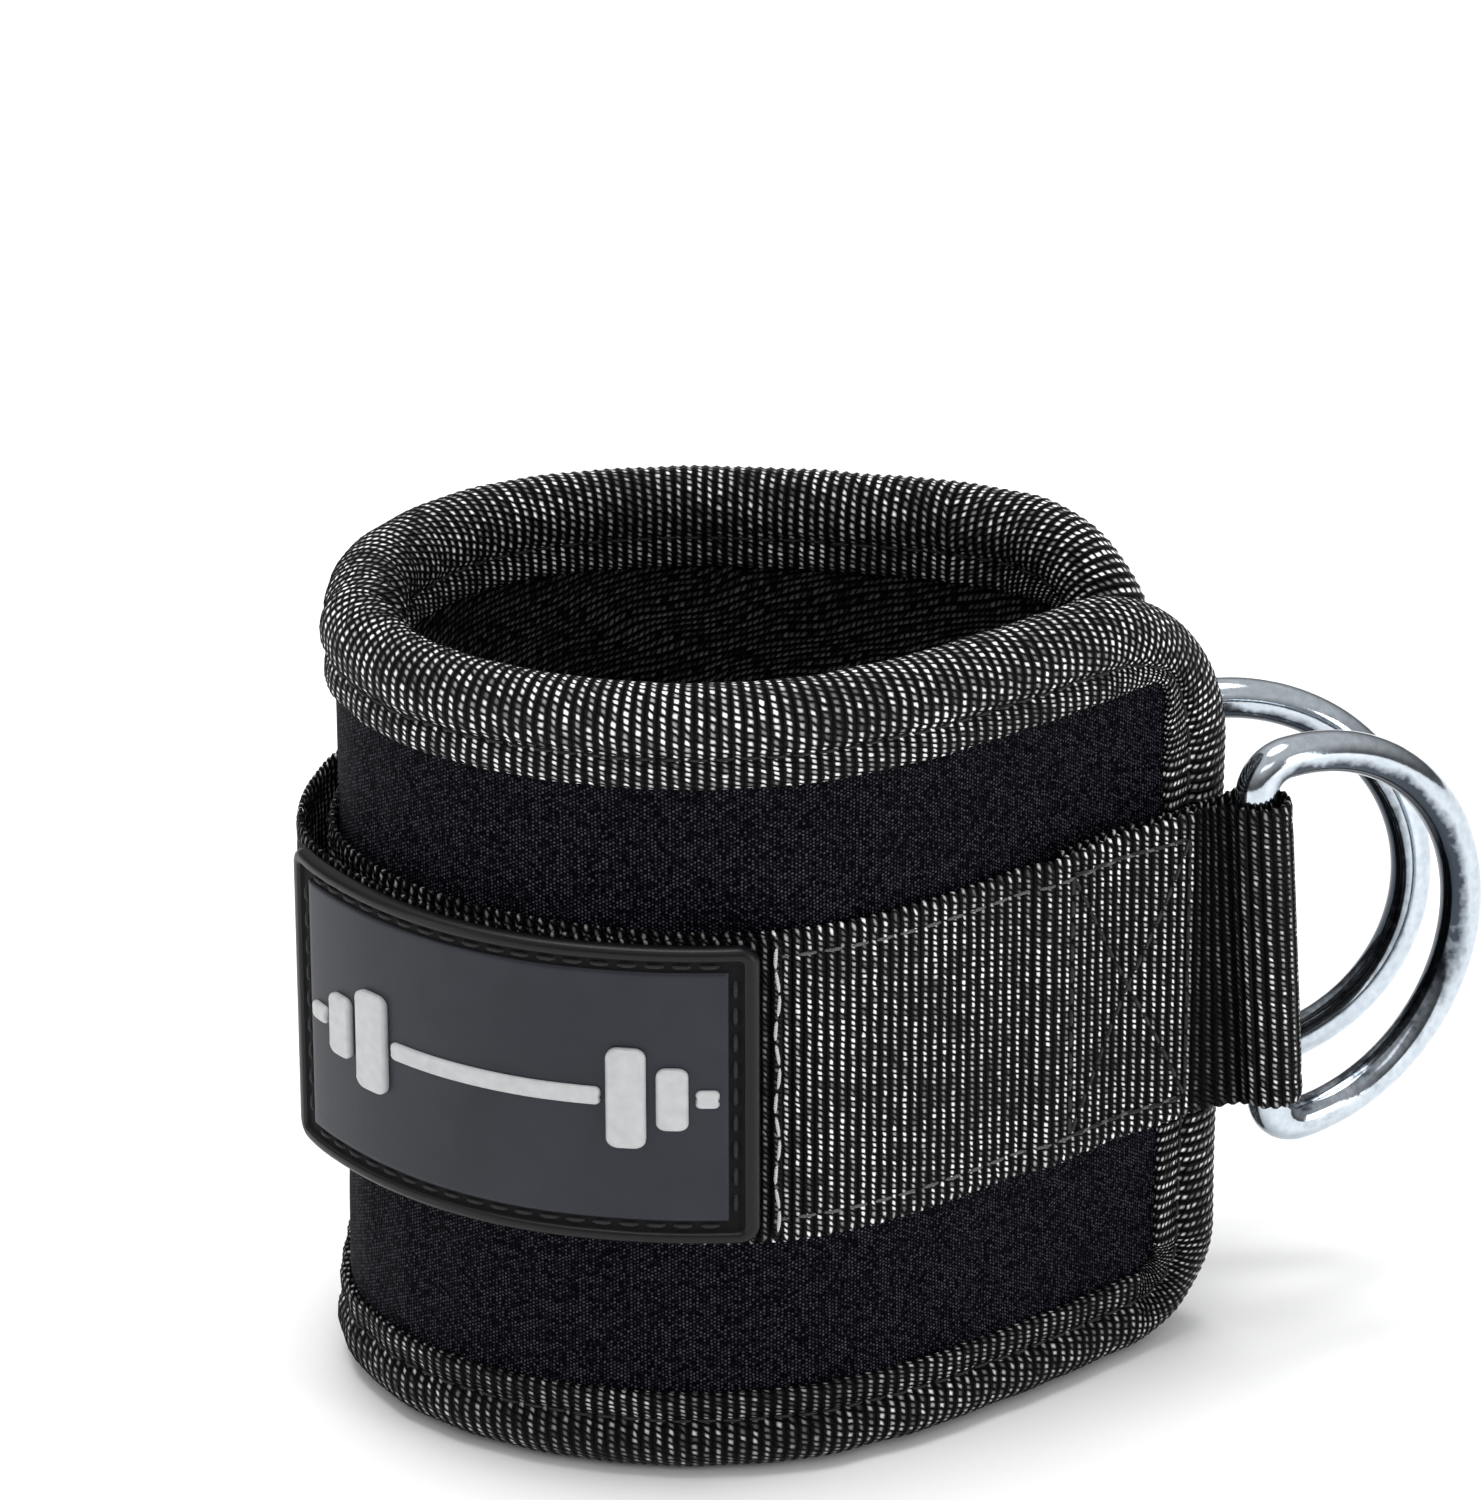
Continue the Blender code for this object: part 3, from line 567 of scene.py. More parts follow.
MATERIALS = {
    "binding": yarn_material("binding", BINDING_BLACK, BINDING_HIGHLIGHT, 0.35, 0.46),
    "webbing": yarn_material("webbing", WEBBING_BLACK, WEBBING_HIGHLIGHT, 0.50, 0.38),
    "shaded_webbing": yarn_material("shaded_webbing", WEBBING_BLACK, SHADED_HIGHLIGHT, 0.50, 0.38),
    "knit": knit_material(),
    "lining": lining_material(),
    "rubber": rubber_material(),
    "emblem": emblem_material(),
    "steel": steel_material(),
    "thread": thread_material("thread", (0.003, 0.003, 0.003), (0.028, 0.028, 0.030)),
    "pale_thread": thread_material("pale_thread", (0.015, 0.015, 0.015), (0.13, 0.13, 0.135)),
    "frayed_end": thread_material("frayed_end", (0.10, 0.10, 0.10), (0.62, 0.62, 0.63)),
    "hook": hook_material(),
    "loop": loop_material(),
}


# Padding


def simulate(obj, held, cap, frames=20):
    """Swells the padding like cloth over foam, holding it where it is sewn down."""
    rest = np.array([v.co for v in obj.data.vertices])
    group = obj.vertex_groups.new(name="held")
    for i, weight in enumerate(held):
        if weight > 0:
            group.add([i], float(weight), "REPLACE")
    cloth = obj.modifiers.new("cloth", "CLOTH")
    settings = cloth.settings
    settings.quality = 5
    settings.mass = 0.1
    settings.tension_stiffness = 8
    settings.compression_stiffness = 8
    settings.bending_stiffness = 0.4
    settings.vertex_group_mass = "held"
    settings.use_pressure = True
    settings.uniform_pressure_force = 4
    settings.effector_weights.gravity = 0
    cloth.collision_settings.use_collision = False
    cloth.point_cache.frame_end = frames
    for step in range(1, frames + 1):
        bpy.context.scene.frame_set(step)
    graph = bpy.context.evaluated_depsgraph_get()
    swollen = np.array([v.co for v in obj.evaluated_get(graph).data.vertices])
    obj.modifiers.clear()
    bpy.context.scene.frame_set(1)
    moved = swollen - rest
    far = np.linalg.norm(moved, axis=1)
    return rest + moved * np.minimum(1.0, cap / np.maximum(far, 1e-9))[:, None]


def end_range(s, inset):
    """Lowest and highest z of the padding at s, where its ends have rounded corners."""
    from_end = np.minimum(COURSE.end - s, s - COURSE.start)
    span = []
    for radius in (BOTTOM_CORNER, TOP_CORNER):
        past = np.clip((radius - from_end) / radius, 0, 1)
        span.append((radius - inset) * (1 - np.sqrt(1 - np.minimum(past, 0.999) ** 2)))
    return inset + span[0], BAND_HEIGHT - inset - span[1]


def make_padding(inset=0.005, step=0.0018, rows=46, swelling=0.0016):
    """The pad under the binding, one row of points to a step along it and back on the inside."""
    s = np.arange(COURSE.start + inset, COURSE.end - inset, step)
    low, high = end_range(s, inset)
    z = low[:, None] + (high - low)[:, None] * np.linspace(0, 1, rows)
    along = np.repeat(s[:, None], rows, axis=1)
    outer = COURSE.place(along, PAD_HALF, z)
    inner = COURSE.place(along, -PAD_HALF, z)
    points = np.concatenate([outer, inner[:, ::-1]], axis=1)
    face = np.stack([along, z], axis=-1)
    weave = np.concatenate([face, face[:, ::-1]], axis=1)
    mesh = grid_mesh("padding", points, weave * 1000, around=True, caps=True)
    obj = piece("padding", mesh, MATERIALS["knit"], MATERIALS["lining"])
    s, z = weave.reshape(-1, 2).T
    outside = np.tile(np.arange(2 * rows) < rows, len(points))
    places = points.reshape(-1, 3)
    hem = BINDING_COVER + 0.001
    sewn = (z < hem) | (z > BAND_HEIGHT - hem)
    sewn |= (s < COURSE.start + hem) | (s > COURSE.end - hem)
    sewn |= outside & (abs(z - WEBBING_LEVEL) < WEBBING_WIDTH / 2 - 0.001)
    places = simulate(obj, sewn.astype(float), swelling)
    places = wrinkled(places, s, z, outside)
    mesh.vertices.foreach_set("co", places.ravel())
    inside = np.array([not outside[list(polygon.vertices)].any() for polygon in mesh.polygons])
    mesh.polygons.foreach_set("material_index", inside.astype(np.int32))
    return split_at_seam(obj, s)


def wrinkled(places, s, z, outside):
    """Folds the lining where the tight bend squeezes it, and lets the face ripple a little."""
    away = sampled(s, COURSE.s, COURSE.outward)
    free = ramp(z, 0.012, 0.024) * ramp(BAND_HEIGHT - z, 0.012, 0.024)
    lean = s + 0.12 * (z - 0.05) + 0.0015 * np.sin(z * 130)
    folds = np.sin(lean * 2 * math.pi / 0.0085) * near(s, 0.0, 0.022) * 0.0009
    folds += np.sin(lean * 2 * math.pi / 0.023 + 1.0) * near(s, -0.045, 0.040) * 0.0004
    ripple = 0.00022 * np.sin(s * 190 + 2.5 * np.sin(z * 90)) * np.sin(z * 160 + s * 60)
    shift = np.where(outside, ripple, folds) * free
    places = places.copy()
    places[:, :2] += away * shift[:, None]
    return places


def split_at_seam(obj, s):
    """The back half's end as a piece of its own, because it stands beyond the flap."""
    mesh = obj.data
    faces = [(list(p.vertices), p.material_index) for p in mesh.polygons]
    places = np.array([v.co for v in mesh.vertices])
    weave = np.array([tuple(v.vector)[:2] for v in mesh.attributes["weave"].data])
    parts = []
    for name, beyond in (("padding_round", False), ("padding_back_end", True)):
        chosen = [(face, slot) for face, slot in faces if (s[face].mean() < SEAM) == beyond]
        used = np.unique(np.concatenate([face for face, _ in chosen]))
        index = {int(old): new for new, old in enumerate(used)}
        part = bpy.data.meshes.new(name)
        corners = [[index[i] for i in face] for face, _ in chosen]
        slots = np.array([slot for _, slot in chosen], np.int32)
        part.from_pydata(places[used].tolist(), [], corners)
        part.polygons.foreach_set("material_index", slots)
        part.shade_smooth()
        add_weave(part, weave[used])
        parts.append(piece(name, part, MATERIALS["knit"], MATERIALS["lining"]))
    bpy.data.objects.remove(obj)
    return parts


# Binding


def binding_section():
    """The folded tape from outer to inner hem, as (distance in, d), and its counts of yarns."""
    hem = [(0.0110, 0.0033), (0.0110, 0.0040), (0.0104, 0.0043), (0.0088, 0.0042), (0.0080, 0.0040)]
    sewn = [(BINDING_SEAM_DEPTH, 0.0036), (0.0069, 0.0040), (0.0061, 0.0045)]
    turn = np.radians([84, 70, 56, 42, 28, 14, 0])
    rim = [(RIM_RADIUS * (1 - math.cos(a)), RIM_RADIUS * math.sin(a)) for a in turn]
    half = hem + sewn + rim
    section = np.array(half + [(deep, -d) for deep, d in reversed(half[:-1])])
    middle = (section[1:, 0] + section[:-1, 0]) / 2
    pitch = np.where(middle > BINDING_SEAM_DEPTH, 0.00062, 0.00088)
    steps = np.linalg.norm(np.diff(section, axis=0), axis=1) / pitch
    return section, np.concatenate([[0.0], np.cumsum(steps)])


def corner_points(end, side, radius, top):
    """The tape's edge and hem round an end corner, from the rim down: (edge s, z, hem s, z)."""
    straight = radius - BINDING_COVER - HEM_CORNER
    hem_length = 2 * straight + HEM_CORNER * math.pi / 2
    share = np.linspace(0, 1, 40)
    angle = share * math.pi / 2
    along = share * hem_length
    turned = np.clip((along - straight) / HEM_CORNER, 0, math.pi / 2)
    past = np.maximum(along - straight - HEM_CORNER * math.pi / 2, 0)
    edge_s = end - side * radius * (1 - np.sin(angle))
    hem_s = end - side * (radius - np.minimum(along, straight) - HEM_CORNER * np.sin(turned))
    edge_drop = radius * (1 - np.cos(angle))
    hem_drop = BINDING_COVER + HEM_CORNER * (1 - np.cos(turned)) + past
    if top:
        edge_drop, hem_drop = BAND_HEIGHT - edge_drop, BAND_HEIGHT - hem_drop
    return np.stack([edge_s, edge_drop, hem_s, hem_drop], axis=1)


def level_run(s, edge, hem):
    """The tape's edge and hem where it runs level: (edge s, z, hem s, z)."""
    return np.stack([s, np.full(len(s), edge), s, np.full(len(s), hem)], axis=1)


def binding_route(end, side):
    """Along the top from the seam, down the end and back at the bottom, four steps to a rib."""
    top_s = np.linspace(SEAM, end - side * TOP_CORNER, 300)[:-1]
    bottom_s = np.linspace(end - side * BOTTOM_CORNER, SEAM, 300)[1:]
    top = level_run(top_s, BAND_HEIGHT, BAND_HEIGHT - BINDING_COVER)
    bottom = level_run(bottom_s, 0.0, BINDING_COVER)
    down = corner_points(end, side, TOP_CORNER, True)
    back = corner_points(end, side, BOTTOM_CORNER, False)[::-1]
    route = np.concatenate([top, down, back, bottom])
    reach = reach_along(route[:, :2])
    marks = rib_marks(reach[-1], BINDING_RIB)
    return sampled(marks, reach, route), marks


def bound_points(route, deep, d):
    """World points of the tape at some distance in from its edge and d outwards."""
    edge_s, edge_z, hem_s, hem_z = np.split(route, 4, axis=1)
    cover = np.hypot(hem_s - edge_s, hem_z - edge_z)
    share = (deep + (cover - BINDING_COVER) * ramp(deep, RIM_RADIUS, BINDING_COVER)) / cover
    s = edge_s + (hem_s - edge_s) * share
    z = edge_z + (hem_z - edge_z) * share
    squeeze = np.sin((s + 0.0006 * np.sin(z * 500)) * 2 * math.pi / 0.0062) * near(s, 0.0, 0.013)
    d = d + np.where(d < 0.001, 0.0006, 0.00012) * squeeze
    return COURSE.place(s, d + uneven(s, z), z)


def uneven(s, z):
    """The small sway of a tape that was folded and sewn by hand."""
    slow = np.sin(s * 310 + 2.0 * np.sin(s * 87)) + 0.6 * np.sin(s * 733 + z * 260)
    return 0.00013 * slow


def make_binding_part(name, end, side):
    section, yarns = binding_section()
    route, marks = binding_route(end, side)
    rib = marks / BINDING_RIB
    normal = rights(section)
    sunk = 0.00022 * between_ribs(rib)[:, None]
    deep, d = (section[:, k] + normal[:, k] * sunk for k in (0, 1))
    points = bound_points(route, deep, d)
    # Painted shade: the yarn's colour darkens towards the bottom of the band and over the tape's
    # inner face.
    painted_shade = 0.6 * (1 - route[:, 1:2] / BAND_HEIGHT) + 0.4 * ramp(-section[:, 1], 0.0, 0.003)
    weave = np.stack(np.broadcast_arrays(rib[:, None], yarns, painted_shade), axis=-1)
    tape = grid_mesh(name, points, weave)
    if side < 0:
        tape.flip_normals()
    threads = [sewn_line(route, face) for face in (1, -1)]
    return join(name, [tape, merged(threads)], [MATERIALS["binding"], MATERIALS["thread"]])


def sewn_line(route, face):
    """The stitches that close the folded tape on one face."""
    levels = (0.0038, 0.0048)
    rows = [bound_points(route[::3], BINDING_SEAM_DEPTH, face * d)[:, 0] for d in levels]
    return stitches(rows[0], units(rows[1] - rows[0]), *BINDING_SEAM)


# Webbing


def ribbon(name, path, level, width, lean=None, painted_shade=0.0):
    """A ribbed tape standing along a plan path in world metres, its right side outwards."""
    reach = reach_along(path)
    marks = rib_marks(reach[-1], RIB)
    level, painted_shade = (
        np.interp(marks, reach, np.broadcast_to(value, reach.shape))[:, None]
        for value in (level, painted_shade)
    )
    path = sampled(marks, reach, path)
    side = rights(path)
    half = width / 2
    rows = [half - inset for inset in (0, 0.0003, 0.0008, 0.0024, EDGE_SEAM_INSET, 0.0032)]
    rows += list(np.linspace(half - 0.0050, 0.0, 6))
    heights = np.array([-v for v in rows] + rows[-2::-1])
    edge = half - abs(heights)
    plump = np.sqrt(np.clip(edge / 0.0008, 0.12, 1)) - 0.25 * near(edge, EDGE_SEAM_INSET, 0.0004)
    rib = marks / RIB
    sunk = 0.00024 * between_ribs(rib)
    thick = WEBBING_THICKNESS / 2 * plump[None, :] - sunk[:, None]
    scallop = 0.00035 * abs(np.sin(math.pi * rib))[:, None] * np.sign(heights) * (edge < 0.0005)
    z = (level + heights + scallop)[..., None]
    faces = []
    for turn in (1, -1):
        plan = path[:, None, :] + side[:, None, :] * (turn * thick)[..., None]
        if lean:
            plan = plan + lean(path, heights)
        faces.append(np.concatenate([plan, z], axis=-1))
    points = np.concatenate([faces[0], faces[1][:, ::-1]], axis=1)
    yarns = heights / 0.00075
    yarns = np.concatenate([yarns, yarns[::-1]])
    web = np.stack(np.broadcast_arrays(rib[:, None], yarns, painted_shade), axis=-1)
    return solid_mesh(name, points, web)


def tape_face(level, sunk=0.0):
    """A surface just on, or sunk into, the outside of a tape whose middle lies at level(s)."""

    def surface(s, z, lift):
        return COURSE.place(s, level(s) + WEBBING_THICKNESS / 2 - sunk + lift, z)

    return surface


def edge_stitching(surface, s, middle, width):
    """Two rows of stitches along a tape's edges; `middle` is the height of its middle."""
    off = width / 2 - EDGE_SEAM_INSET
    return merged([sew(surface, s, middle + side * off, EDGE_SEAM) for side in (-1, 1)])


def box_stitching(surface, start, end, middle, half):
    """The sewn box and its cross."""
    low, high = middle - half, middle + half
    corners = [(start, low), (end, low), (end, high), (start, high)]
    lines = [(corners[i], corners[(i + 1) % 4]) for i in range(4)]
    lines += [(corners[0], corners[2]), (corners[1], corners[3])]
    runs = [np.linspace(*line, 40).T for line in lines]
    return merged([sew(surface, s, z, BOX_SEAM) for s, z in runs])


def round_bar(bar, start, end, clockwise):
    """Plan points round a ring's bar, from the side of `start` to that of `end`."""
    first, last = (math.atan2(p[1], p[0]) for p in (start, end))
    turn = (last - first) % (2 * math.pi)
    if clockwise:
        turn -= 2 * math.pi
    angles = first + turn * np.linspace(0, 1, 60)
    return bar + BAR_WRAP * np.stack([np.cos(angles), np.sin(angles)], axis=1)


def bend_between(before, start, end, after, count=40):
    span = np.linalg.norm(end - start)
    leave = (start - before) / np.linalg.norm(start - before) * span * 0.6
    arrive = (after - end) / np.linalg.norm(after - end) * span * 0.6
    t = np.linspace(0, 1, count + 2)[1:-1, None]
    return (
        (2 * t**3 - 3 * t**2 + 1) * start
        + (t**3 - 2 * t**2 + t) * leave
        + (3 * t**2 - 2 * t**3) * end
        + (t**3 - t**2) * arrive
    )


FRONT_BAR = np.array([0.0431, 0.0001])
FRONT_BAR_Z = 0.0520
FRONT_YAW = math.radians(28.6)
FRONT_TILT = math.radians(4.0)
REAR_BAR = np.array([0.0349, 0.0248])
REAR_BAR_Z = 0.0495
REAR_YAW = math.radians(5.7)

EDGE_SEAM_DEPTH = 0.0002
STRAP_END = COURSE.s_at_x(-0.0008, front=True)
OVER_BINDING = COURSE.end - BINDING_COVER - 0.0012
BOX_START = COURSE.s_at_x(0.030, front=True)
LEAVE = COURSE.s_at_x(0.0456, front=True)


def webbing_height(s):
    """The base webbing rides up under the patch and again towards the front ring."""
    under_patch = 0.0016 * ramp(s, -0.01, 0.01) - 0.0007 * ramp(s, 0.03, STRAP_END)
    return WEBBING_LEVEL + under_patch + 0.0013 * ramp(s, STRAP_END, LEAVE)


def base_level(s):
    """Height of the base webbing's middle: it climbs over the end binding."""
    return BASE_LAYER + LAYER_STEP * ramp(s, OVER_BINDING - 0.009, OVER_BINDING)


def doubled_level(s):
    """The outer strand lies on the strand that comes back from the ring."""
    return base_level(s) + LAYER_STEP * ramp(s, BOX_START - 0.006, BOX_START - 0.001)


def make_base_webbing():
    start = COURSE.s_at_x(0.0240, front=False)
    out_s = np.arange(start, LEAVE, 0.0005)
    back_s = np.arange(COURSE.end - 0.0034, BOX_START, -0.0005)
    outward = COURSE.at(out_s, doubled_level(out_s))
    inward = COURSE.at(back_s, base_level(back_s))
    wrap = round_bar(FRONT_BAR, (-0.0032, -0.0030), (-0.0025, 0.0032), clockwise=False)
    into = bend_between(outward[-2], outward[-1], wrap[0], wrap[1])
    out = bend_between(wrap[-2], wrap[-1], inward[0], inward[1])
    path = np.concatenate([outward, into, wrap, out, inward])
    way = np.array([math.cos(FRONT_YAW), math.sin(FRONT_YAW)])

    def lean(points, heights):
        close = 1 - ramp(np.linalg.norm(points - FRONT_BAR, axis=1), 0.0045, 0.010)
        rise = WEBBING_LEVEL + heights - FRONT_BAR_Z
        return -(close[:, None] * math.tan(FRONT_TILT) * rise[None, :])[..., None] * way

    loop = np.full(len(path) - len(outward) - len(inward), webbing_height(LEAVE))
    level = np.concatenate([webbing_height(out_s), loop, webbing_height(back_s)])
    # Painted shade on the yarn's colour: under the closure strap and the patch, and from where the
    # webbing leaves the cuff, round the front ring and back along the inner strand.
    covered = 0.7 * ramp(out_s, -0.010, 0.0) * (1 - ramp(out_s, STRAP_END - 0.002, STRAP_END))
    outward_shade = covered + 0.92 * ramp(out_s, LEAVE - 0.0015, LEAVE)
    rest = np.repeat([0.92, 0.45, 0.6], [len(into), len(wrap), len(out) + len(back_s)])
    painted_shade = np.concatenate([outward_shade, rest])
    tape = ribbon("base_webbing", path, level, WEBBING_WIDTH, lean, painted_shade)

    face = tape_face(doubled_level, EDGE_SEAM_DEPTH)
    sewn_s = np.linspace(start + 0.004, LEAVE - 0.002, 200)
    threads = edge_stitching(face, sewn_s, webbing_height(sewn_s), WEBBING_WIDTH)
    return join("base_webbing", [tape, threads], [MATERIALS["webbing"], MATERIALS["pale_thread"]])


def make_front_box():
    start, end = BOX_START + 0.0010, LEAVE - 0.0015
    rows = box_stitching(tape_face(doubled_level), start, end, webbing_height(LEAVE), 0.017)
    return piece("front_box_thread", rows, MATERIALS["thread"])


# Closure strap


def bulge(s):
    """The strap stands off where it turns the tight bend, and settles on the hook tape."""
    return 0.0013 * near(s, 0.001, 0.011)


def strap_level(s):
    """Height of the closure strap's middle, over the base webbing at the back."""
    over_base = BASE_LAYER + LAYER_STEP
    climb = (STRAP_LAYER - over_base) * ramp(s, -0.030, -0.004)
    return over_base + climb + bulge(s)


STRAP_SPLIT = 0.0005
REAR_LEAVE = COURSE.s_at_x(0.0215, front=False)
REAR_BOX = COURSE.s_at_x(0.0120, front=False)


def rear_strand():
    """Plan points of the rear strap from its sewn end, round the rear ring's bar, to the hinge."""
    sewn_s = np.arange(REAR_BOX, REAR_LEAVE, -0.0005)
    out_s = np.arange(REAR_LEAVE, STRAP_SPLIT + 1e-6, 0.0005)
    doubled = LAYER_STEP * (1 - ramp(out_s, REAR_BOX + 0.001, REAR_BOX + 0.006))
    outward = COURSE.at(out_s, strap_level(out_s) + doubled)
    inward = COURSE.at(sewn_s, BASE_LAYER + LAYER_STEP)
    middle = (outward[0] + inward[-1]) / 2
    run = REAR_BAR - middle
    reach = np.linalg.norm(run)
    run /= reach
    side = np.array([-run[1], run[0]])
    straight = middle + run * np.linspace(0.006, reach - 0.0085, 20)[:, None]
    upper, lower = straight + side * LAYER_STEP / 2, straight - side * LAYER_STEP / 2
    wrap = round_bar(REAR_BAR, side - run * 0.25, -side - run * 0.25, clockwise=True)[::-1]
    into = bend_between(lower[-2], lower[-1], wrap[0], wrap[1])
    out = bend_between(wrap[-2], wrap[-1], upper[-1], upper[-2])
    path = np.concatenate([inward, lower, into, wrap, out, upper[::-1], outward])
    return path, middle, run, side, reach


def make_closure_strap():
    path, middle, run, side, reach = rear_strand()
    back = ribbon("strap_round_back", path, STRAP_LEVEL, STRAP_WIDTH)
    s = np.arange(STRAP_SPLIT, STRAP_END + 1e-6, 0.0005)
    end = ribbon("strap_end", COURSE.at(s, strap_level(s)), STRAP_LEVEL, STRAP_WIDTH)

    sewn_s = np.linspace(COURSE.s_at_x(0.010, front=False), STRAP_SPLIT, 200)
    face = tape_face(strap_level, EDGE_SEAM_DEPTH)
    threads = edge_stitching(face, sewn_s, STRAP_LEVEL, STRAP_WIDTH)
    wavy = STRAP_END - 0.0005 + 0.0002 * np.sin(np.linspace(0, 25, 60))
    z = STRAP_LEVEL + np.linspace(-0.5, 0.5, 60) * (STRAP_WIDTH - 0.001)
    hem = sew(tape_face(strap_level, 0.0001), wavy, z, STRAP_END_SEAM)
    back = join("strap_round_back", [back, threads], [MATERIALS["webbing"], MATERIALS["thread"]])
    # The strap's end takes the webbing with dimmed highlights: painted shade round the patch.
    end = join("strap_loose_end", [end, hem], [MATERIALS["shaded_webbing"], MATERIALS["frayed_end"]])

    def doubled_strand(along, z, lift):
        away = (LAYER_STEP + WEBBING_THICKNESS) / 2 + lift
        return np.concatenate([middle + run * along[:, None] + side * away, z[:, None]], axis=1)

    rows = box_stitching(doubled_strand, 0.0065, reach - 0.0095, STRAP_LEVEL, 0.015)
    return back, end, piece("rear_box_thread", rows, MATERIALS["thread"])


# Patch

PATCH_END = STRAP_END - 0.0022
PATCH_START = PATCH_END - 0.0546
PATCH_CORNER = 0.0022
PATCH_GAP = 0.00012
MILLIMETRE = 0.001

# Moulded profile, (depth inside the outline, height) in millimetres: rim, channel, then field
PATCH_PROFILE = (
    (0.0, 0.30), (0.1, 0.80), (0.3, 1.20), (0.7, 1.45),
    (1.1, 1.47), (1.45, 1.38), (1.65, 1.00), (1.8, 0.72),
    (3.0, 0.72), (3.15, 1.02), (3.4, 1.12), (9.0, 1.15),
)
# Rows of points over the rim and the channel, in millimetres from the edge
RIM_ROWS = (0.0, 0.1, 0.2, 0.3, 0.5, 0.7, 0.9, 1.1, 1.3, 1.45, 1.55, 1.65, 1.8, 2.0, 2.4, 2.8, 3.0)
CHANNEL_END_ROWS = (3.15, 3.4)
EDGE_STEPS = np.array(RIM_ROWS + CHANNEL_END_ROWS) * MILLIMETRE


def patch_depth(s, z):
    """How far a point of the patch lies inside its rounded outline."""
    from_s = (PATCH_END - PATCH_START) / 2 - PATCH_CORNER - abs(s - (PATCH_START + PATCH_END) / 2)
    from_z = STRAP_WIDTH / 2 - PATCH_CORNER - abs(z - STRAP_LEVEL)
    outside = np.hypot(np.minimum(from_s, 0), np.minimum(from_z, 0))
    return PATCH_CORNER - outside + np.maximum(np.minimum(from_s, from_z), 0)


def patch_height(depth):
    depths, heights = np.array(PATCH_PROFILE).T * MILLIMETRE
    return np.interp(depth, depths, heights)


def patch_marks(start, end, count):
    """Places from one edge to the other, close together over the rim and the channel."""
    middle = np.linspace(start + 0.0038, end - 0.0038, count)
    return np.concatenate([start + EDGE_STEPS, middle, end - EDGE_STEPS[::-1]])


STRAP_FACE = tape_face(strap_level)


def patch_surface(s, z, lift):
    """World points over the patch's moulded face."""
    return STRAP_FACE(s, z, PATCH_GAP + patch_height(patch_depth(s, z)) + lift)


def make_patch():
    s = patch_marks(PATCH_START, PATCH_END, 90)
    short = np.maximum(PATCH_CORNER - np.minimum(s - PATCH_START, PATCH_END - s), 0)
    half = STRAP_WIDTH / 2 - PATCH_CORNER + np.sqrt(np.maximum(PATCH_CORNER**2 - short**2, 0))
    rows = patch_marks(-STRAP_WIDTH / 2, STRAP_WIDTH / 2, 22) / (STRAP_WIDTH / 2)
    z = STRAP_LEVEL + half[:, None] * rows
    along = np.repeat(s[:, None], len(rows), axis=1)
    top = patch_surface(along, z, 0.0)
    bottom = STRAP_FACE(along, z, PATCH_GAP)
    points = np.concatenate([top, bottom[:, ::-1]], axis=1)
    depth = np.concatenate([patch_depth(along, z), z * 0], axis=1) / MILLIMETRE
    weave = np.stack([depth, depth], axis=-1)
    mesh = solid_mesh("patch", points, weave)
    return piece("patch", mesh, MATERIALS["rubber"])


def make_patch_stitch(inset=0.0024, corner=0.0012):
    def in_channel(s, z, lift):
        return patch_surface(s, z, lift + 0.00005)

    half = STRAP_WIDTH / 2 - inset
    along = np.linspace(PATCH_START + inset + corner, PATCH_END - inset - corner, 120)
    up = STRAP_LEVEL + np.linspace(corner - half, half - corner, 60)
    rows = [(along, STRAP_LEVEL + side * half) for side in (-1, 1)]
    rows += [(end, up) for end in (PATCH_START + inset, PATCH_END - inset)]
    threads = [sew(in_channel, s, z, PATCH_SEAM) for s, z in rows]
    return piece("patch_thread", merged(threads), MATERIALS["thread"])


def raised(centre, length, height, corner, rise, bevel=0.00028):
    """A bevelled, raised figure with rounded corners on the patch's field, bent with it."""
    count = max(int(length / 0.0012), 2)
    bend = corner * (1 - np.cos(np.linspace(0, math.pi / 2, 6)))
    middle = np.linspace(corner, length - corner, count + 1)[1:-1]
    s = np.concatenate([bend, middle, length - bend[::-1]]) - length / 2
    short = np.maximum(abs(s) - length / 2 + corner, 0)
    half = height / 2 - corner + np.sqrt(np.maximum(corner**2 - short**2, 1e-12))
    levels = [(1.0, -0.0003), (1.0, rise - bevel), (0.5, rise - bevel * 0.3), (0.0, rise)]
    section = [(inset * bevel - bevel, lift) for inset, lift in levels]
    section += [(-bevel - (height / 2 - bevel) * share, rise) for share in (0.34, 0.67, 1.0)]
    rows = []
    for inward, lift in section:
        reach = np.maximum(half + inward, 0.0)
        shrink = 1 + 2 * max(inward, -bevel) / length
        rows.append(np.stack([s * shrink, reach, np.full(len(s), lift)], axis=1))
    rows += [row * (1, -1, 1) for row in rows[-2::-1]]
    grid = np.array(rows).transpose(1, 0, 2)
    points = patch_surface(centre + grid[..., 0], STRAP_LEVEL + grid[..., 1], grid[..., 2])
    web = np.zeros((*points.shape[:2], 2))
    return solid_mesh("figure", points, web)


def make_emblem():
    """A barbell, generic: a bar with a large and a small plate on each side."""
    middle = (PATCH_START + PATCH_END) / 2
    bar = (0.0022, 0.0006, 0.0006)
    figures = [raised(middle, 0.0228, *bar)]
    for side in (-1, 1):
        figures.append(raised(middle + side * 0.0140, 0.0040, 0.0126, 0.0012, 0.0009))
        figures.append(raised(middle + side * 0.0186, 0.0032, 0.0078, 0.0010, 0.0008))
        figures.append(raised(middle + side * 0.0221, 0.0024, *bar))
    return piece("emblem", merged(figures), MATERIALS["emblem"])


# Rings


def arc(centre, radii, start, end, count):
    angles = np.radians(np.linspace(start, end, count))
    return np.array(centre) + np.array(radii) * np.stack([np.cos(angles), np.sin(angles)], axis=1)


